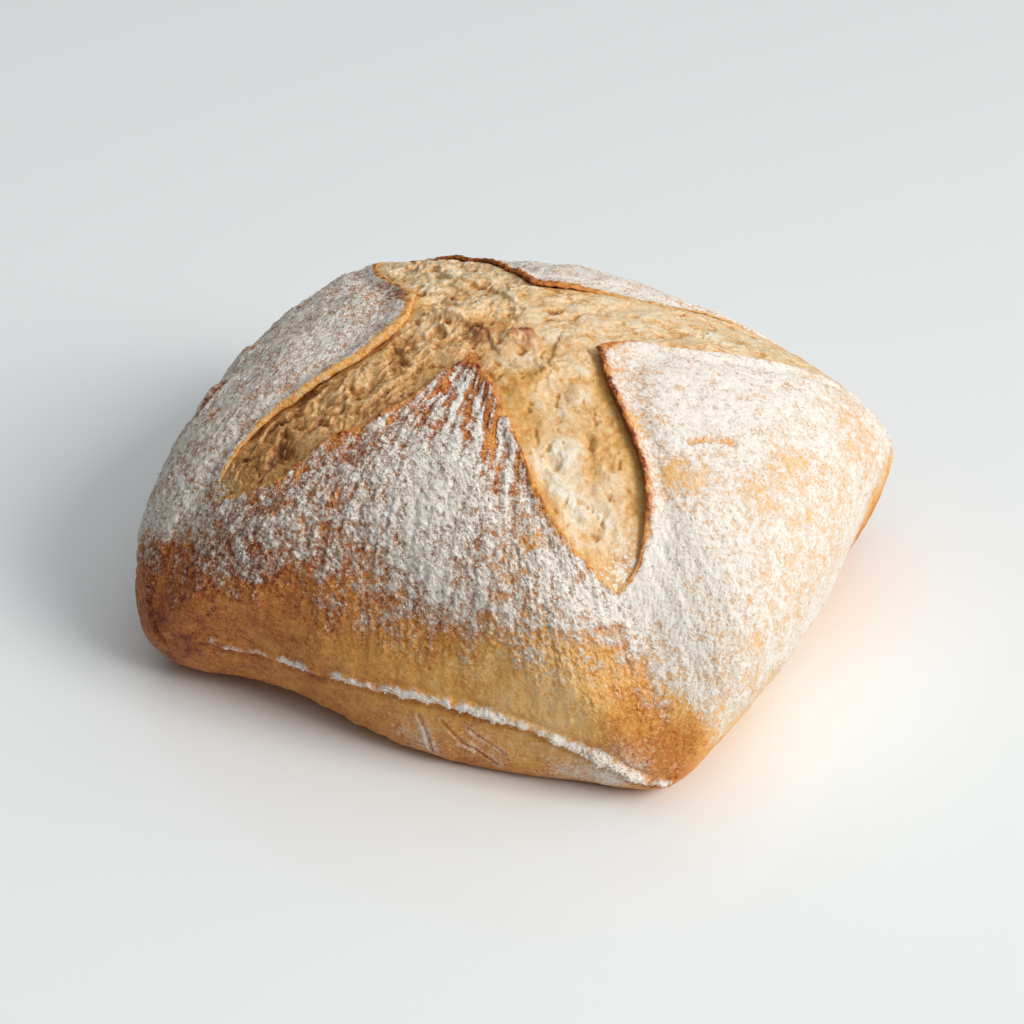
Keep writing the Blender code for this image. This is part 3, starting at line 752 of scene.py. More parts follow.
class Lips:
    """The closed line of all four lips: places in plan and what holds at each."""

    def __init__(self):
        lines = []
        for flap in FLAPS.values():
            start, end = (ARM_ENDS[name] for name in flap["ends"])
            half = flap["columns"] // 2
            rising = smooth_line([start, *flap["rising"], flap["tip"]], half + 1)
            falling = smooth_line([flap["tip"], *flap["falling"], end], half + 1)
            lines.append(np.vstack([rising, falling[1:-1]]))
        self.plan = np.vstack(lines)
        self.first = np.cumsum([0] + [len(line) for line in lines])
        self.curl, self.thickness, self.drop, self.brown, self.bare, self.ragged = (
            np.concatenate([flap_values(flap, name) for flap in FLAPS.values()])
            for name in ("curl", "thickness", "drop", "brown", "bare", "ragged")
        )
        self.into = self.inward()
        self.vary()

    def vary(self):
        """Makes the lips uneven and lets them fade out at the ends of the arms."""
        plan, ragged = self.plan, self.ragged
        ends = np.array(list(ARM_ENDS.values()))
        gap = np.linalg.norm(plan[:, None] - ends[None], axis=2).min(axis=1)
        self.grown = grown = ARM_END_LIP + (1.0 - ARM_END_LIP) * faded(gap / ARM_END_FADE)
        self.wander = textured(plan, "wide lip wander") + textured(plan, "fine lip wander")
        self.wander *= grown * ragged
        self.thickness = self.thickness * (1.0 + ragged * textured(plan, "lip thickness")) * grown
        self.curl = self.curl * (1.0 + ragged * textured(plan, "lip curl")) * grown
        self.drop = self.drop * grown
        self.brown = ARM_END_BROWN + (self.brown - ARM_END_BROWN) * grown
        self.bare = self.bare * (1.0 + textured(plan, "bare rim"))
        self.bare = self.bare * (ARM_END_BARE + (1.0 - ARM_END_BARE) * grown)

    def inward(self):
        along = np.roll(self.plan, -3, axis=0) - np.roll(self.plan, 3, axis=0)
        along /= np.linalg.norm(along, axis=1)[:, None]
        return np.stack([-along[:, 1], along[:, 0]], axis=-1)


def shoulder_bearings(lips):
    """Bearings where the columns meet the widest line: corner to corner, evenly by length."""
    lip_bearing, _ = dome_place(lips.plan)
    bearings = []
    for flap in FLAPS.values():
        start, end = (CORNERS[corner][0] for corner in flap["ends"])
        fine = np.linspace(start, start + (end - start) % 360.0, EDGE_STEPS)
        edge = around(plan_radius(fine, np.ones_like(fine)), fine, shoulder_height(fine))
        run = np.concatenate([[0.0], np.cumsum(np.linalg.norm(np.diff(edge, axis=0), axis=1))])
        bearings.append(np.interp(np.linspace(0.0, run[-1], flap["columns"] + 1)[:-1], run, fine))
    return lip_bearing + wrapped(np.concatenate(bearings) - lip_bearing)


# ------------------------ crust


def unit(vectors):
    return vectors / np.maximum(np.linalg.norm(vectors, axis=-1), 1e-12)[..., None]


def outward(points):
    """Unit normals of a grid of rows and closed columns, pointing out of the loaf."""
    across = np.roll(points, -1, axis=1) - np.roll(points, 1, axis=1)
    return unit(np.cross(np.gradient(points, axis=0), across))


def side_profile(bearing):
    """Rows from the widest line down to the edge of the base."""
    slumped = near(bearing, SLUMP["bearing"], SLUMP["spread"])
    sagging = within(bearing, SAG)
    inset = FOOT_INSET + SLUMP["inset"] * slumped + SAG["inset"] * sagging
    roundness = FOOT_ROUNDNESS + SLUMP["roundness"] * slumped + SAG["roundness"] * sagging
    edge = plan_radius(bearing, np.ones_like(bearing))
    turn = np.linspace(0.0, math.pi / 2, SIDE_ROWS + 1)[1:, None] + 0.0 * bearing
    share = 1.0 - np.sin(turn) ** roundness
    height = shoulder_height(bearing) * share
    gap = within(bearing, FOOT_GAP)
    lift = FOOT_GAP["low"] + (FOOT_GAP["high"] - FOOT_GAP["low"]) * gap
    under = FOOT_GAP["depth"] * gap * np.clip(1.0 - height / lift, 0.0, 1.0) ** FOOT_GAP["power"]
    foot = inset * (1.0 - np.clip(np.cos(turn), 0.0, 1.0) ** roundness)
    return around(edge - foot - under + sag_reach(bearing, height), bearing + 0.0 * turn, height)


class Crust:
    """The four flaps and the sides as one closed ring of columns, rows from lip to base."""

    def __init__(self, lips):
        self.lips = lips
        self.form = self.smooth_form()
        self.from_lip = np.linalg.norm(self.form[..., :2] - self.form[0, :, :2], axis=2)
        self.form[..., 2] += self.lift()
        self.normal = outward(self.form)
        self.down = unit(np.gradient(self.form, axis=0))
        self.run = np.radians(self.bearing) * HALF_WIDTH
        self.rugged = self.by_flap("rugged")
        self.rim_wear = textured(self.form, "rim wear")
        self.flour = self.floured()
        self.toast = self.toasted()
        relief = self.skin_relief() + self.seam()
        self.points = self.form + self.normal * (relief * faded(self.form[..., 2] / CALM_FOOT))[..., None]
        self.add_lip_rows()

    def smooth_form(self):
        """The form's rows and columns. Where the lip wanders, its columns start further up or down."""
        lips = self.lips
        lip_bearing, lip_share = dome_place(lips.plan)
        edge_bearing = shoulder_bearings(lips)
        lean = np.arcsin(lip_share)
        length = (math.pi / 2 - lean) * HALF_WIDTH
        step = np.linspace(0.0, 1.0, DOME_ROWS + 1)[:, None]
        step = step - lips.wander / length * (1.0 - step) ** WANDER_FADE
        turned = np.sign(step) * np.abs(step) ** COLUMN_TURN
        self.bearing = lip_bearing + (edge_bearing - lip_bearing) * turned
        share = np.sin(lean + (math.pi / 2 - lean) * step)
        height = dome_height(self.bearing, share)
        radius = plan_radius(self.bearing, share) + sag_reach(self.bearing, height)
        dome = around(radius, self.bearing, height)
        sides = side_profile(edge_bearing)
        self.bearing = np.vstack([self.bearing, np.repeat(edge_bearing[None], SIDE_ROWS, axis=0)])
        lips.plan = dome[0, :, :2].copy()
        return np.concatenate([dome, sides])

    def lift(self):
        """The lips curl up, and the crust dips behind them."""
        curl = self.lips.curl * bell(self.from_lip, CURL_LENGTH)
        return curl - TROUGH_DEPTH * bell(self.from_lip - TROUGH_PLACE, TROUGH_PLACE / 2)

    def by_flap(self, name):
        """A flap's own value on it and below it, changing over a few degrees at its borders."""
        total, weights = 0.0, 0.0
        for flap in FLAPS.values():
            start, end = (CORNERS[corner][0] for corner in flap["ends"])
            half = ((end - start) % 360.0) / 2.0
            inside = half - np.abs(wrapped(self.bearing - start - half))
            weight = LEAST_WEIGHT + faded(0.5 + inside / FLAP_BORDER)
            total = total + weight * flap[name]
            weights = weights + weight
        return total / weights

    def floured(self):
        """How thickly flour lies: it covers where this is over a half."""
        form, flour = self.form, self.by_flap("flour")
        bearings, heights = zip(*FLOUR_FOOT)
        shifted = np.array(bearings) - FLOUR_FOOT_MIDDLE
        foot = np.interp(wrapped(self.bearing - FLOUR_FOOT_MIDDLE), shifted, heights)
        foot = foot - textured(form, "flour foot") - smeared(form, self.down, "flour foot")
        cover = flour * faded((form[..., 2] - foot) / FLOUR_FADE + 0.5)
        cover = cover + patched(form, FLOUR_PATCHES) * faded(cover / THIN_FLOUR)
        cover = cover + textured(form, "flour cover") * (1.4 - flour)
        self.streak = smeared(form, self.down, "flour streaks")
        self.clots = textured(form, "flour clots")
        streaky = self.rugged * (0.08 + 0.9 * np.clip(patched(form, STREAKY_PATCHES), 0.0, 1.0))
        streaks = streaky * self.streak * faded(cover / SPARSE_FLOUR)
        self.cover = np.clip(cover * (1.0 - 0.8 * bell(self.from_lip, self.lips.bare)) + streaks, 0.0, 1.0)
        clots = (0.07 + 0.12 * self.rugged) * self.clots * faded(self.cover / SPARSE_FLOUR)
        return np.maximum(self.cover, 0.02 + patched(form, DUSTINGS)) + clots

    def toasted(self):
        """How brown the skin under the flour is, from 0 to 1, with painted light and shade along the front
        side.
        """
        form = self.form
        rim = bell(self.from_lip, 0.6 * self.lips.bare + TOASTED_RIM)
        floured = faded(self.cover / 0.4)
        streaks = 0.07 * self.streak * self.rugged
        toast = PLAIN_TOAST + (self.by_flap("toast") - PLAIN_TOAST - streaks) * floured
        toast = toast + patched(form, TOAST_AND_PAINTED_LIGHT_PATCHES) + textured(form, "toast")
        return toast + (self.lips.brown + 0.3 * self.rim_wear - toast) * rim

    def skin_relief(self):
        form, rugged = self.form, self.rugged
        slant = np.stack([self.run, 0.0 * self.run, form[..., 2] * WRINKLE_LEAN], axis=-1)
        thick = faded((self.flour - 0.38) / 0.34)
        floured = faded(self.cover / THIN_FLOUR)
        grain = 0.6 * thick + textured(form, "flour grains") * floured
        wear = self.lips.ragged * self.rim_wear * bell(self.from_lip, RIM_WEAR_LENGTH)
        relief = textured(form, "wrinkles") + textured(slant, "slanting wrinkles")
        relief = relief + textured(form, "pimples") + smeared(form, self.down, "stretched skin")
        relief = relief + STREAK_HEIGHT * self.streak * rugged * (0.25 + 0.75 * floured)
        relief = relief + GRAIN_HEIGHT * (0.3 + 0.7 * rugged) * grain + RIM_WEAR_HEIGHT * wear
        relief = relief + patched(form, BLISTERS)
        return relief + self.splits() + self.front_folds()

    def splits(self):
        total = 0.0
        wider, lower = SPLIT_BANKS
        on_dome = np.arange(len(self.form))[:, None] <= DOME_ROWS
        for places, depth, half_width in SPLITS:
            gap, _ = gap_to_line(self.form[..., :2], places)
            half_width = half_width * (1.0 + textured(self.form, "split width"))
            cut, banks = bell(gap, half_width) * on_dome, bell(gap, half_width * wider) * on_dome
            total = total - depth * (cut - lower * banks)
            self.flour = self.flour - SPLIT_BARING * depth * cut
            self.toast = self.toast + SPLIT_TOASTING * depth * cut
        return total

    def front_folds(self):
        total = 0.0
        wider, lower = FOLD_BANKS
        front = self.form[..., 1] < FRONT_SIDE
        for places, depth, half_width, flour in FRONT_FOLDS:
            gap, _ = gap_to_line(self.form[..., [0, 2]], places)
            cut, banks = bell(gap, half_width), bell(gap, half_width * wider)
            total = total - front * depth * (cut - lower * banks)
            self.flour = self.flour + flour * front * (banks - cut)
        return total

    def seam(self):
        """The shaping seam along the front: knobs with flour on them over a crease."""
        line = np.stack([self.run, 0.0 * self.run], axis=-1)
        along, height, growth = zip(*SEAM)
        middle = np.interp(self.form[..., 0], along, height) + SEAM_RISE * within(self.bearing, SAG)
        middle = np.minimum(middle, SEAM_MOST_SHARE * shoulder_height(self.bearing))
        middle = middle + textured(line, "long seam bends") + textured(line, "short seam bends")
        off = self.form[..., 2] - middle
        low_rows = np.arange(len(off))[:, None] >= DOME_ROWS - SEAM_DOME_ROWS
        grown = np.interp(self.form[..., 0], along, growth) * (self.form[..., 1] < FRONT_SIDE) * low_rows
        knobs = np.clip(0.62 + textured(line, "seam knobs"), 0.1, 1.4)
        knobs = knobs * faded(grown * 1.5 + textured(line, "seam breaks"))
        width = (SEAM_WIDTH[0] + SEAM_WIDTH[1] * knobs) * (0.45 + 0.55 * grown)
        ridge = (SEAM_HEIGHT[0] + SEAM_HEIGHT[1] * knobs) * grown * bell(off, width)
        torn = 1.0 + textured(self.form, "torn seam")
        self.seam_flour = np.minimum(1.0, 1.5 * grown) * knobs * torn * bell(off, 1.2 * width)
        # Painted shadow: a darker line of toast under the seam's ridge
        self.painted_seam_shadow = grown * bell(off - SEAM_SHADOW[0], SEAM_SHADOW[1])
        crease = sum(depth * bell(off - at, half_width) for depth, at, half_width in SEAM_CREASES)
        rise, at, half_width = LOWER_SEAM
        lower = rise * grown * bell(off - at, half_width) * faded(0.3 + textured(line, "lower seam breaks"))
        return ridge * torn - grown * crease + lower

    def add_lip_rows(self):
        """Adds the rounded torn edge and the start of the underside before the first row."""
        edge, normal, lips = self.points[0], self.normal[0], self.lips
        into = np.column_stack([lips.into, np.zeros(len(edge))])
        across = lips.thickness[:, None] / 2.0
        rows = []
        for turn in np.linspace(0.0, math.pi, NOSE_ROWS + 1)[1:]:
            row = edge + into * math.sin(turn) * across - normal * (1.0 - math.cos(turn)) * across
            torn = textured(row, "torn edge") * math.sin(turn) ** 2
            torn = torn * lips.grown * (SMOOTH_LIP_TEAR + (1.0 - SMOOTH_LIP_TEAR) * lips.ragged)
            rows.append(row + into * torn[:, None])
        last, grown = rows[-1], lips.grown[:, None]
        for back, down in UNDER_ROWS:
            rows.append(last - into * back * grown - [0.0, 0.0, down] * grown)
        self.lip_rows = len(rows)
        self.points = np.concatenate([rows[::-1], self.points])


# ------------------------ crumb


class Crumb:
    """The torn crumb in the cross as a grid in plan, which runs in under the flaps."""

    def __init__(self, lips):
        self.lips = lips
        low, high = lips.plan.min(axis=0) - CRUMB_UNDER, lips.plan.max(axis=0) + CRUMB_UNDER
        xs = np.arange(low[0], high[0], CRUMB_PITCH)
        ys = np.arange(low[1], high[1], CRUMB_PITCH)
        grid = np.stack(np.meshgrid(xs, ys, indexing="ij"), axis=-1)
        flat = grid.reshape(-1, 2)
        nearest, gap = self.nearest_lip(flat)
        inside = np.sum((flat - lips.plan[nearest]) * lips.into[nearest], axis=1) > 0.0
        depth = np.where(inside, gap, -gap)
        kept = depth > -CRUMB_UNDER * np.maximum(lips.grown[nearest], 0.4)
        self.faces = whole_cells(kept.reshape(grid.shape[:2]))
        used = np.unique(self.faces)
        renumber = np.full(len(flat), -1)
        renumber[used] = np.arange(len(used))
        self.faces = renumber[self.faces]
        self.plan, self.depth, self.drop = flat[used], depth[used], (lips.drop - lips.curl)[nearest][used]
        self.bearing, self.share = dome_place(self.plan)
        self.weigh_arms()
        self.shape()

    def nearest_lip(self, flat):
        tree = kdtree.KDTree(len(self.lips.plan))
        for index, place in enumerate(self.lips.plan):
            tree.insert((place[0], place[1], 0.0), index)
        tree.balance()
        found = [tree.find((x, y, 0.0))[1:] for x, y in flat]
        return np.array([index for index, _ in found]), np.array([gap for _, gap in found])

    def weigh_arms(self):
        """How much each arm's look counts at each point."""
        weights = []
        for end in ARM_ENDS.values():
            weights.append(0.02 + near(self.bearing, math.degrees(math.atan2(end[1], end[0])), ARM_SPREAD))
        self.arms = np.array(weights) / sum(weights)

    def arm_value(self, name):
        return sum(weight * look[name] for weight, look in zip(self.arms, ARM_LOOKS.values()))

    def shape(self):
        base = dome_height(self.bearing, self.share)
        open_depth, under = np.clip(self.depth, 0.0, None), np.clip(-self.depth, 0.0, None)
        sunk = CRUMB_SINK + (self.drop - CRUMB_SINK) * bell(open_depth, CRUMB_ROLL) + CRUMB_SLOPE * under
        relief = self.crags() * faded(0.2 + open_depth / CRAG_GROWTH) + self.tears()
        lumps = patched(self.plan, LUMPS) * (1.0 + textured(self.plan, "lump skin"))
        self.points = np.column_stack([self.plan, base - sunk + relief + lumps])

    def bent(self, name):
        """The plan points, each moved by the noise of that name."""
        return self.plan + np.stack([textured(self.plan, f"{name} in {axis}") for axis in "xy"], axis=-1)

    def tears(self):
        """Steps from one torn layer to the next, with a shade under each."""
        total, self.under_tear = 0.0, 0.0
        places = self.bent("tear bends")
        for line, height, reach in TEARS:
            gap, side = gap_to_line(places, line)
            step = 0.5 + 0.5 * np.clip(np.sign(height) * side * gap / TEAR_WIDTH, -1.0, 1.0)
            total = total + abs(height) * bell(gap, reach) * (step - 0.35)
            self.under_tear = self.under_tear + (1.0 - step) * bell(gap, TEAR_SHADE)
        return total

    def crags(self):
        """Stretched strands between hollows, drawn out along each arm, and round pores over soft lumps."""
        places = self.bent("crumb warp")
        self.strands, self.hollows, self.pores = 0.0, 0.0, 0.0
        for weight, end, look in zip(self.arms, ARM_ENDS.values(), ARM_LOOKS.values()):
            seed = look["seed"]
            along = np.array(end) / np.linalg.norm(end)
            run = np.stack([places @ along / look["stretch"], places @ [-along[1], along[0]]], axis=-1)
            web = sum(share * thin_ridges(run, size, seed + k) for k, (share, size) in enumerate(WEB))
            hollow = noise(run, HOLLOW_SIZES[0], seed + 6) + 0.5 * noise(run, HOLLOW_SIZES[1], seed + 7)
            gap, value = cells(run, PORE_PITCH, seed + 8)
            radius = 0.12 + 0.8 * np.clip(value - PORE_LEAST, 0.0, 1.0)
            self.strands = self.strands + weight * web
            self.hollows = self.hollows + weight * faded((hollow - 0.05) / 0.5)
            self.pores = self.pores + weight * faded(1.5 * (1.0 - gap / radius)) * (value > PORE_LEAST)
        self.swells = textured(self.plan, "crumb swells")
        self.skin = faded(0.5 + textured(self.plan, "crumb skin") - 0.6 * (1.0 - self.arm_value("smooth")))
        rough = self.arm_value("rough") * (1.0 - 0.7 * self.skin)
        torn = rough * (STRAND_HEIGHT * self.strands - HOLLOW_DEPTH * self.hollows)
        grit = (0.35 + 0.65 * rough) * textured(self.plan, "crumb grit")
        return SWELL_HEIGHT * self.swells + torn - PORE_DEPTH * self.pores + grit


def thin_ridges(plan, size, seed):
    """1 along thin winding lines, 0 between them."""
    return np.clip(1.0 - 4.0 * np.abs(noise(plan, size, seed)), 0.0, 1.0) ** 1.3


# ------------------------ materials


def linear(red, green, blue):
    """A colour given as on a screen, from 0 to 255. Every one used here is over 10."""
    return (*(((c / 255 + 0.055) / 1.055) ** 2.4 for c in (red, green, blue)), 1.0)


class Graph:
    """A Principled material, with short calls for the nodes used here."""

    def __init__(self, name, roughness=0.8):
        self.material = bpy.data.materials.new(name)
        self.material.use_nodes = True
        self.tree = self.material.node_tree
        self.shader = self.tree.nodes["Principled BSDF"]
        self.shader.inputs["Roughness"].default_value = roughness
        self.place = self.tree.nodes.new("ShaderNodeTexCoord").outputs["Object"]

    def put(self, socket, value):
        if isinstance(value, bpy.types.NodeSocket):
            self.tree.links.new(value, socket)
        else:
            socket.default_value = value

    def attribute(self, name):
        node = self.tree.nodes.new("ShaderNodeAttribute")
        node.attribute_name = name
        return node.outputs["Fac"]

    def noise(self, size, detail=3.0, roughness=0.55):
        """Noise about zero, from about -0.5 to 0.5."""
        node = self.tree.nodes.new("ShaderNodeTexNoise")
        self.put(node.inputs["Vector"], self.place)
        self.put(node.inputs["Scale"], 1.0 / size)
        self.put(node.inputs["Detail"], detail)
        self.put(node.inputs["Roughness"], roughness)
        return self.math("SUBTRACT", node.outputs["Fac"], 0.5)

    def math(self, kind, first, second=0.0, clamp=False):
        node = self.tree.nodes.new("ShaderNodeMath")
        node.operation = kind
        node.use_clamp = clamp
        self.put(node.inputs[0], first)
        self.put(node.inputs[1], second)
        return node.outputs[0]

    def add(self, *values, clamp=False):
        """The sum of (value, factor) pairs, held from 0 to 1 if clamped."""
        total = None
        for value, factor in values:
            part = self.math("MULTIPLY", value, factor)
            total = part if total is None else self.math("ADD", total, part, clamp)
        return total

    def span(self, value, low, high):
        """0 at low and 1 at high, held beyond and smooth between."""
        node = self.tree.nodes.new("ShaderNodeMapRange")
        node.interpolation_type = "SMOOTHSTEP"
        for name, number in (("Value", value), ("From Min", low), ("From Max", high)):
            self.put(node.inputs[name], number)
        return node.outputs["Result"]

    def mix(self, share, first, second):
        node = self.tree.nodes.new("ShaderNodeMix")
        node.data_type = "RGBA"
        self.put(node.inputs["Factor"], share)
        colours = [socket for socket in node.inputs if socket.type == "RGBA"]
        for socket, colour in zip(colours, (first, second)):
            self.put(socket, colour)
        return next(socket for socket in node.outputs if socket.type == "RGBA")

    def ramp(self, value, stops):
        node = self.tree.nodes.new("ShaderNodeValToRGB")
        elements = node.color_ramp.elements
        while len(elements) < len(stops):
            elements.new(0.5)
        for element, (at, colour) in zip(elements, stops):
            element.position = at
            element.color = colour
        self.put(node.inputs["Fac"], value)
        return node.outputs["Color"]

    def bump(self, height, distance):
        node = self.tree.nodes.new("ShaderNodeBump")
        self.put(node.inputs["Height"], height)
        node.inputs["Distance"].default_value = distance
        self.put(self.shader.inputs["Normal"], node.outputs["Normal"])


CRUST_RAMP = [
    (0.0, linear(246, 206, 146)),
    (0.25, linear(238, 176, 94)),
    (0.5, linear(216, 142, 68)),
    (0.72, linear(182, 100, 46)),
    (0.88, linear(138, 66, 34)),
    (1.0, linear(92, 42, 26)),
]
CRUMB_RAMP = [
    (0.0, linear(118, 66, 30)),
    (0.22, linear(190, 130, 70)),
    (0.42, linear(226, 172, 106)),
    (0.6, linear(241, 204, 152)),
    (0.8, linear(247, 224, 188)),
    (1.0, linear(250, 240, 222)),
]
FLOUR = linear(247, 239, 229)
SHADED_FLOUR = linear(226, 208, 186)
DUSTED = linear(240, 214, 190)
GOLDEN = linear(222, 152, 66)
PALE_GOLD = linear(236, 188, 106)
SCORCHED = linear(164, 86, 44)


def crust_material():
    g = Graph("baked_crust")
    g.shader.inputs["Specular IOR Level"].default_value = 0.25
    flour, rugged = g.attribute("flour"), g.attribute("rugged")
    broad, middle = g.noise(0.006, 4.0, 0.6), g.noise(0.002, 4.0, 0.7)
    fine, finest = g.noise(0.0009, 4.0, 0.75), g.noise(0.0004, 2.0, 0.6)
    # Partly mottled toast, partly painted shade: the skin is made browner where the flour grains are thin,
    # in the crevices between them
    mottling_and_crevice_shade = g.add((middle, -1.0), (fine, -1.5), (finest, -0.9))
    loose = g.add((rugged, 0.45), (0.55, 1.0))
    # The toast attribute also holds the painted light and shade on the front side and the painted shadow
    # under the seam
    toast = g.add((g.attribute("toast"), 1.0), (broad, 0.6), (mottling_and_crevice_shade, loose), clamp=True)
    skin = g.ramp(toast, CRUST_RAMP)
    grains = g.add((middle, 1.0), (fine, 2.1), (finest, 0.7))
    powder = g.add((flour, 1.0), (broad, 0.45), (grains, loose))
    thick = g.span(powder, 0.41, 0.78)
    veil = g.span(g.add((flour, 1.0), (broad, 0.8), (middle, 0.6), (fine, 1.0)), 0.16, 0.92)
    dusted = g.mix(g.math("MULTIPLY", veil, g.add((rugged, -0.34), (1.08, 1.0))), skin, DUSTED)
    g.put(g.shader.inputs["Base Color"], g.mix(thick, dusted, FLOUR))
    g.put(g.shader.inputs["Roughness"], g.add((thick, 0.35), (middle, 0.2), (0.55, 1.0)))
    grit = g.add((g.noise(0.0009, 2.0, 0.5), 1.0), (g.noise(0.0004, 1.0), 0.4), (thick, 0.25))
    g.bump(g.math("MULTIPLY", grit, g.add((rugged, 0.55), (0.45, 1.0))), 0.00042)
    return g.material


def flour_material():
    g = Graph("loose_flour", 0.95)
    shade = g.span(g.noise(0.0008, 2.0), -0.1, 0.2)
    g.put(g.shader.inputs["Base Color"], g.mix(shade, FLOUR, SHADED_FLOUR))
    g.bump(g.noise(0.0005, 2.0), 0.0002)
    return g.material


def crumb_material():
    g = Graph("torn_crumb", 0.4)
    broad, middle = g.noise(0.005, 4.0, 0.6), g.noise(0.0018, 4.0, 0.7)
    fine = g.noise(0.0007, 3.0, 0.7)
    # The tone attribute carries painted shade in the crumb's hollows and pores, under its tears and near
    # the lips
    tone = g.add((g.attribute("tone"), 1.0), (broad, 0.5), (middle, 0.9), (fine, 0.8), clamp=True)
    gold = g.mix(g.span(middle, -0.15, 0.15), GOLDEN, PALE_GOLD)
    skin = g.mix(g.attribute("golden"), g.ramp(tone, CRUMB_RAMP), gold)
    baked = g.mix(g.attribute("scorch"), skin, SCORCHED)
    dust = g.span(g.add((g.attribute("dust"), 1.0), (middle, 1.2), (fine, 1.6)), 0.34, 0.6)
    g.put(g.shader.inputs["Base Color"], g.mix(dust, baked, FLOUR))
    g.shader.inputs["Subsurface Weight"].default_value = 0.15
    g.shader.inputs["Subsurface Radius"].default_value = (1.0, 0.6, 0.3)
    g.shader.inputs["Subsurface Scale"].default_value = 0.001
    g.bump(g.add((middle, 0.7), (fine, 0.5)), 0.0004)
    return g.material


# ------------------------ pieces


def mesh_piece(name, points, faces, values, material, normals=None):
    """An object from points and faces, with a number for each point under each name."""
    low, high = np.array(cad_box)
    mesh = bpy.data.meshes.new(name)
    faces = np.asarray(faces, np.int32)
    mesh.vertices.add(len(points))
    mesh.vertices.foreach_set("co", np.clip(points + PLAN_SHIFT, low, high).astype(np.float32).ravel())
    mesh.loops.add(faces.size)
    mesh.loops.foreach_set("vertex_index", faces.ravel())
    mesh.polygons.add(len(faces))
    mesh.polygons.foreach_set("loop_start", np.arange(0, faces.size, faces.shape[1], dtype=np.int32))
    mesh.update(calc_edges=True)
    mesh.shade_smooth()
    if normals is not None:
        mesh.normals_split_custom_set_from_vertices(normals)
    for key, numbers in values.items():
        attribute = mesh.attributes.new(key, "FLOAT", "POINT")
        attribute.data.foreach_set("value", np.asarray(numbers, np.float32).ravel())
    mesh.materials.append(material)
    piece = bpy.data.objects.new(name, mesh)
    bpy.context.scene.collection.objects.link(piece)
    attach(piece, "root")
    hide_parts("loaf")


def all_rows(crust, values, at_lip, at_base):
    """Values of the form's rows with the lip's rows before them and the base's after."""
    columns = values.shape[1]
    lip = np.broadcast_to(at_lip, (crust.lip_rows, columns))
    return np.concatenate([lip, values, np.full((BASE_ROWS - 1, columns), at_base)])


def add_crust(crust, material):
    foot = crust.points[-1]
    base = [foot * [share, share, 0.0] for share in np.linspace(1.0, 0.02, BASE_ROWS)[1:]]
    points = np.concatenate([crust.points, base])
    normal = outward(points)
    looks = {
        "flour": (np.maximum(crust.flour, 1.4 * crust.seam_flour), 0.32 - 0.4 * crust.lips.brown, 0.1),
        # the toast carries the painted shadow under the seam
        "toast": (crust.toast + 0.22 * crust.painted_seam_shadow, crust.lips.brown, 0.66),
        "rugged": (crust.rugged * faded(crust.cover / THIN_FLOUR), 0.9, 0.3),
    }
    looks = {key: all_rows(crust, *parts) for key, parts in looks.items()}
    for index, (name, flap) in enumerate(FLAPS.items()):
        first, last = crust.lips.first[index : index + 2]
        cuts = np.linspace(first, last, flap["pieces"] + 1).astype(int)
        for part, (start, end) in enumerate(zip(cuts, cuts[1:])):
            columns = np.arange(start, end + 1) % points.shape[1]
            picked = points[:, columns]
            mesh_piece(
                f"crust_{name}_{part + 1}",
                picked.reshape(-1, 3),
                whole_cells(np.ones(picked.shape[:2], bool)),
                {key: numbers[:, columns] for key, numbers in looks.items()},
                material,
                normal[:, columns].reshape(-1, 3),
            )


def add_crumb(crumb, material):
    # The crumb's tone, paler on the strands and swells. Painted shade darkens it in the hollows and pores,
    # along the line under each torn layer and near the lips, where the flaps overhang it
    tone = 0.62 + crumb.arm_value("tone") + 0.07 * crumb.swells + 0.14 * crumb.strands
    tone = tone - 0.24 * crumb.hollows - 0.4 * crumb.pores - 0.25 * crumb.under_tear
    tone = tone - 0.08 * bell(crumb.depth, LIP_SHADE) + patched(crumb.plan, PALE_PATCHES)
    front_arm = crumb.arms[list(ARM_ENDS).index("front")]
    near_lip = bell(np.clip(crumb.depth, 0.0, None), GOLDEN_RIM)
    golden = 0.15 * crumb.skin + front_arm * (0.7 * near_lip + 0.3 * crumb.skin)
    scorch = patched(crumb.plan, SCORCHES) * faded(0.7 + textured(crumb.plan, "scorch edges"))
    values = {
        "tone": tone,
        "golden": np.clip(golden + patched(crumb.plan, GOLDEN_PATCHES), 0.0, 0.9),
        "scorch": np.clip(scorch, 0.0, 1.0),
        "dust": patched(crumb.plan, CRUMB_DUSTINGS),
    }
    mesh_piece("crumb", crumb.points, crumb.faces, values, material)


def add_clumps(crust, material):
    """Clots of flour that stand on the crust and on its seam, as one joined mesh."""
    dice = np.random.default_rng(CLUMP_SEED)
    points, normals = crust.points[crust.lip_rows :].reshape(-1, 3), crust.normal.reshape(-1, 3)
    on_crust = faded((crust.flour - 0.5) / 0.3) * crust.rugged**2 * (crust.cover > THIN_FLOUR)
    on_seam = crust.seam_flour**2 * (crust.seam_flour > 0.45)
    pebble, faces = pebble_shape()
    parts, corners = [], []
    for weights, (count, small, large) in ((on_crust, CRUST_CLUMPS), (on_seam, SEAM_CLUMPS)):
        share = (weights / weights.sum()).ravel()
        for index in dice.choice(share.size, min(count, np.count_nonzero(share)), replace=False, p=share):
            size = small + (large - small) * dice.random() ** 2
            corners.append(faces + len(parts) * len(pebble))
            parts.append(points[index] + clump(dice, pebble, size, normals[index]))
    mesh_piece("flour_clumps", np.vstack(parts), np.vstack(corners), {}, material)


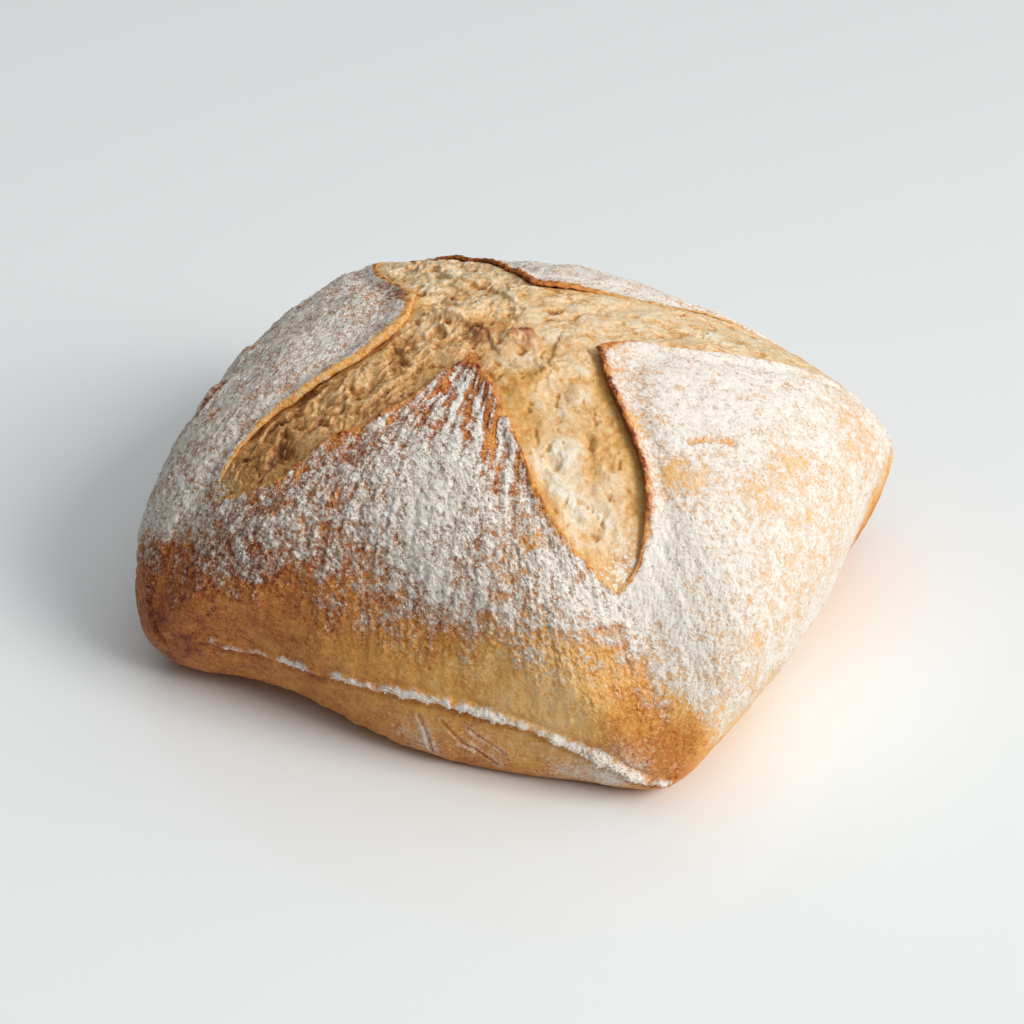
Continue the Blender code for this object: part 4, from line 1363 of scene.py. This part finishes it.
def clump(dice, pebble, size, normal):
    """Corners of an uneven clump, turned at random and pressed against the crust."""
    turn = rotation(dice)
    uneven = 1.0 + CLUMP_UNEVENNESS * dice.standard_normal((len(pebble), 1))
    shape = (pebble * uneven) * size @ turn.T
    shape = shape - normal * (shape @ normal)[:, None] * CLUMP_FLATTENING
    return dice.normal(0.0, CLUMP_JITTER, 3) + shape + normal * size * CLUMP_LIFT


def rotation(dice):
    """A random turn as a matrix."""
    first, second = dice.standard_normal((2, 3))
    first /= np.linalg.norm(first)
    second -= first * first.dot(second)
    second /= np.linalg.norm(second)
    return np.array([first, second, np.cross(first, second)])


def pebble_shape():
    """Corners and faces of a ball of 20 triangles."""
    golden = (1.0 + math.sqrt(5.0)) / 2.0
    corners = [(-1, golden, 0), (1, golden, 0), (-1, -golden, 0), (1, -golden, 0)]
    corners = corners + [(z, x, y) for x, y, z in corners] + [(y, z, x) for x, y, z in corners]
    points = np.array(corners, float)
    points /= np.linalg.norm(points[0])
    faces = []
    side = min(np.linalg.norm(points[0] - other) for other in points[1:])
    for trio in itertools.combinations(range(len(points)), 3):
        a, b, c = points[list(trio)]
        if max(np.linalg.norm(a - b), np.linalg.norm(b - c), np.linalg.norm(a - c)) < 1.1 * side:
            faces.append(trio if np.cross(b - a, c - a).dot(a) > 0.0 else trio[::-1])
    return points, np.array(faces)


# ------------------------ setting


def add_camera():
    azimuth, elevation = math.radians(CAMERA_AZIMUTH), math.radians(CAMERA_ELEVATION)
    back = Vector((
        math.sin(azimuth) * math.cos(elevation),
        -math.cos(azimuth) * math.cos(elevation),
        math.sin(elevation),
    ))
    data = bpy.data.cameras.new("camera")
    data.lens = CAMERA_LENS
    data.sensor_width = SENSOR_WIDTH
    data.clip_start = 0.01
    camera = bpy.data.objects.new("camera", data)
    camera.location = Vector(CAMERA_TARGET) + Vector(PLAN_SHIFT) + back * CAMERA_DISTANCE
    camera.rotation_euler = back.to_track_quat("Z", "Y").to_euler()
    bpy.context.scene.collection.objects.link(camera)
    bpy.context.scene.camera = camera


def add_light(name, bearing, height, distance, size, power, colour):
    """A square area light that faces the loaf."""
    angle, rise = math.radians(bearing), math.radians(height)
    towards = Vector((math.cos(angle) * math.cos(rise), math.sin(angle) * math.cos(rise), math.sin(rise)))
    data = bpy.data.lights.new(name, "AREA")
    data.size = size
    data.energy = power
    data.color = colour
    light = bpy.data.objects.new(name, data)
    light.location = towards * distance
    light.rotation_euler = towards.to_track_quat("Z", "Y").to_euler()
    bpy.context.scene.collection.objects.link(light)


def add_world():
    """A soft room, brighter above and towards the window than on the far side."""
    world = bpy.data.worlds.new("studio")
    bpy.context.scene.world = world
    world.use_nodes = True
    nodes, links = world.node_tree.nodes, world.node_tree.links
    background = nodes["Background"]
    background.inputs["Color"].default_value = WORLD_COLOUR
    lookup = nodes.new("ShaderNodeTexCoord")
    dot = nodes.new("ShaderNodeVectorMath")
    dot.operation = "DOT_PRODUCT"
    links.new(lookup.outputs["Generated"], dot.inputs[0])
    dot.inputs[1].default_value = WORLD_TOWARDS
    span = nodes.new("ShaderNodeMapRange")
    for name, value in (("From Min", WORLD_EDGE), ("To Min", WORLD_LEAST), ("To Max", WORLD_STRENGTH)):
        span.inputs[name].default_value = value
    links.new(dot.outputs["Value"], span.inputs["Value"])
    links.new(span.outputs["Result"], background.inputs["Strength"])


def add_setting():
    bpy.context.scene.view_settings.view_transform = "Standard"
    add_world()
    bpy.ops.mesh.primitive_plane_add(size=FLOOR_SIZE)
    floor = bpy.context.object
    floor.name = "floor"
    g = Graph("pale_floor", FLOOR_ROUGHNESS)
    g.shader.inputs["Base Color"].default_value = linear(*FLOOR_COLOUR)
    floor.data.materials.append(g.material)
    add_light("window", **WINDOW)


def main():
    lips = Lips()
    crust = Crust(lips)
    add_crust(crust, crust_material())
    add_clumps(crust, flour_material())
    add_crumb(Crumb(lips), crumb_material())
    add_camera()
    add_setting()


main()
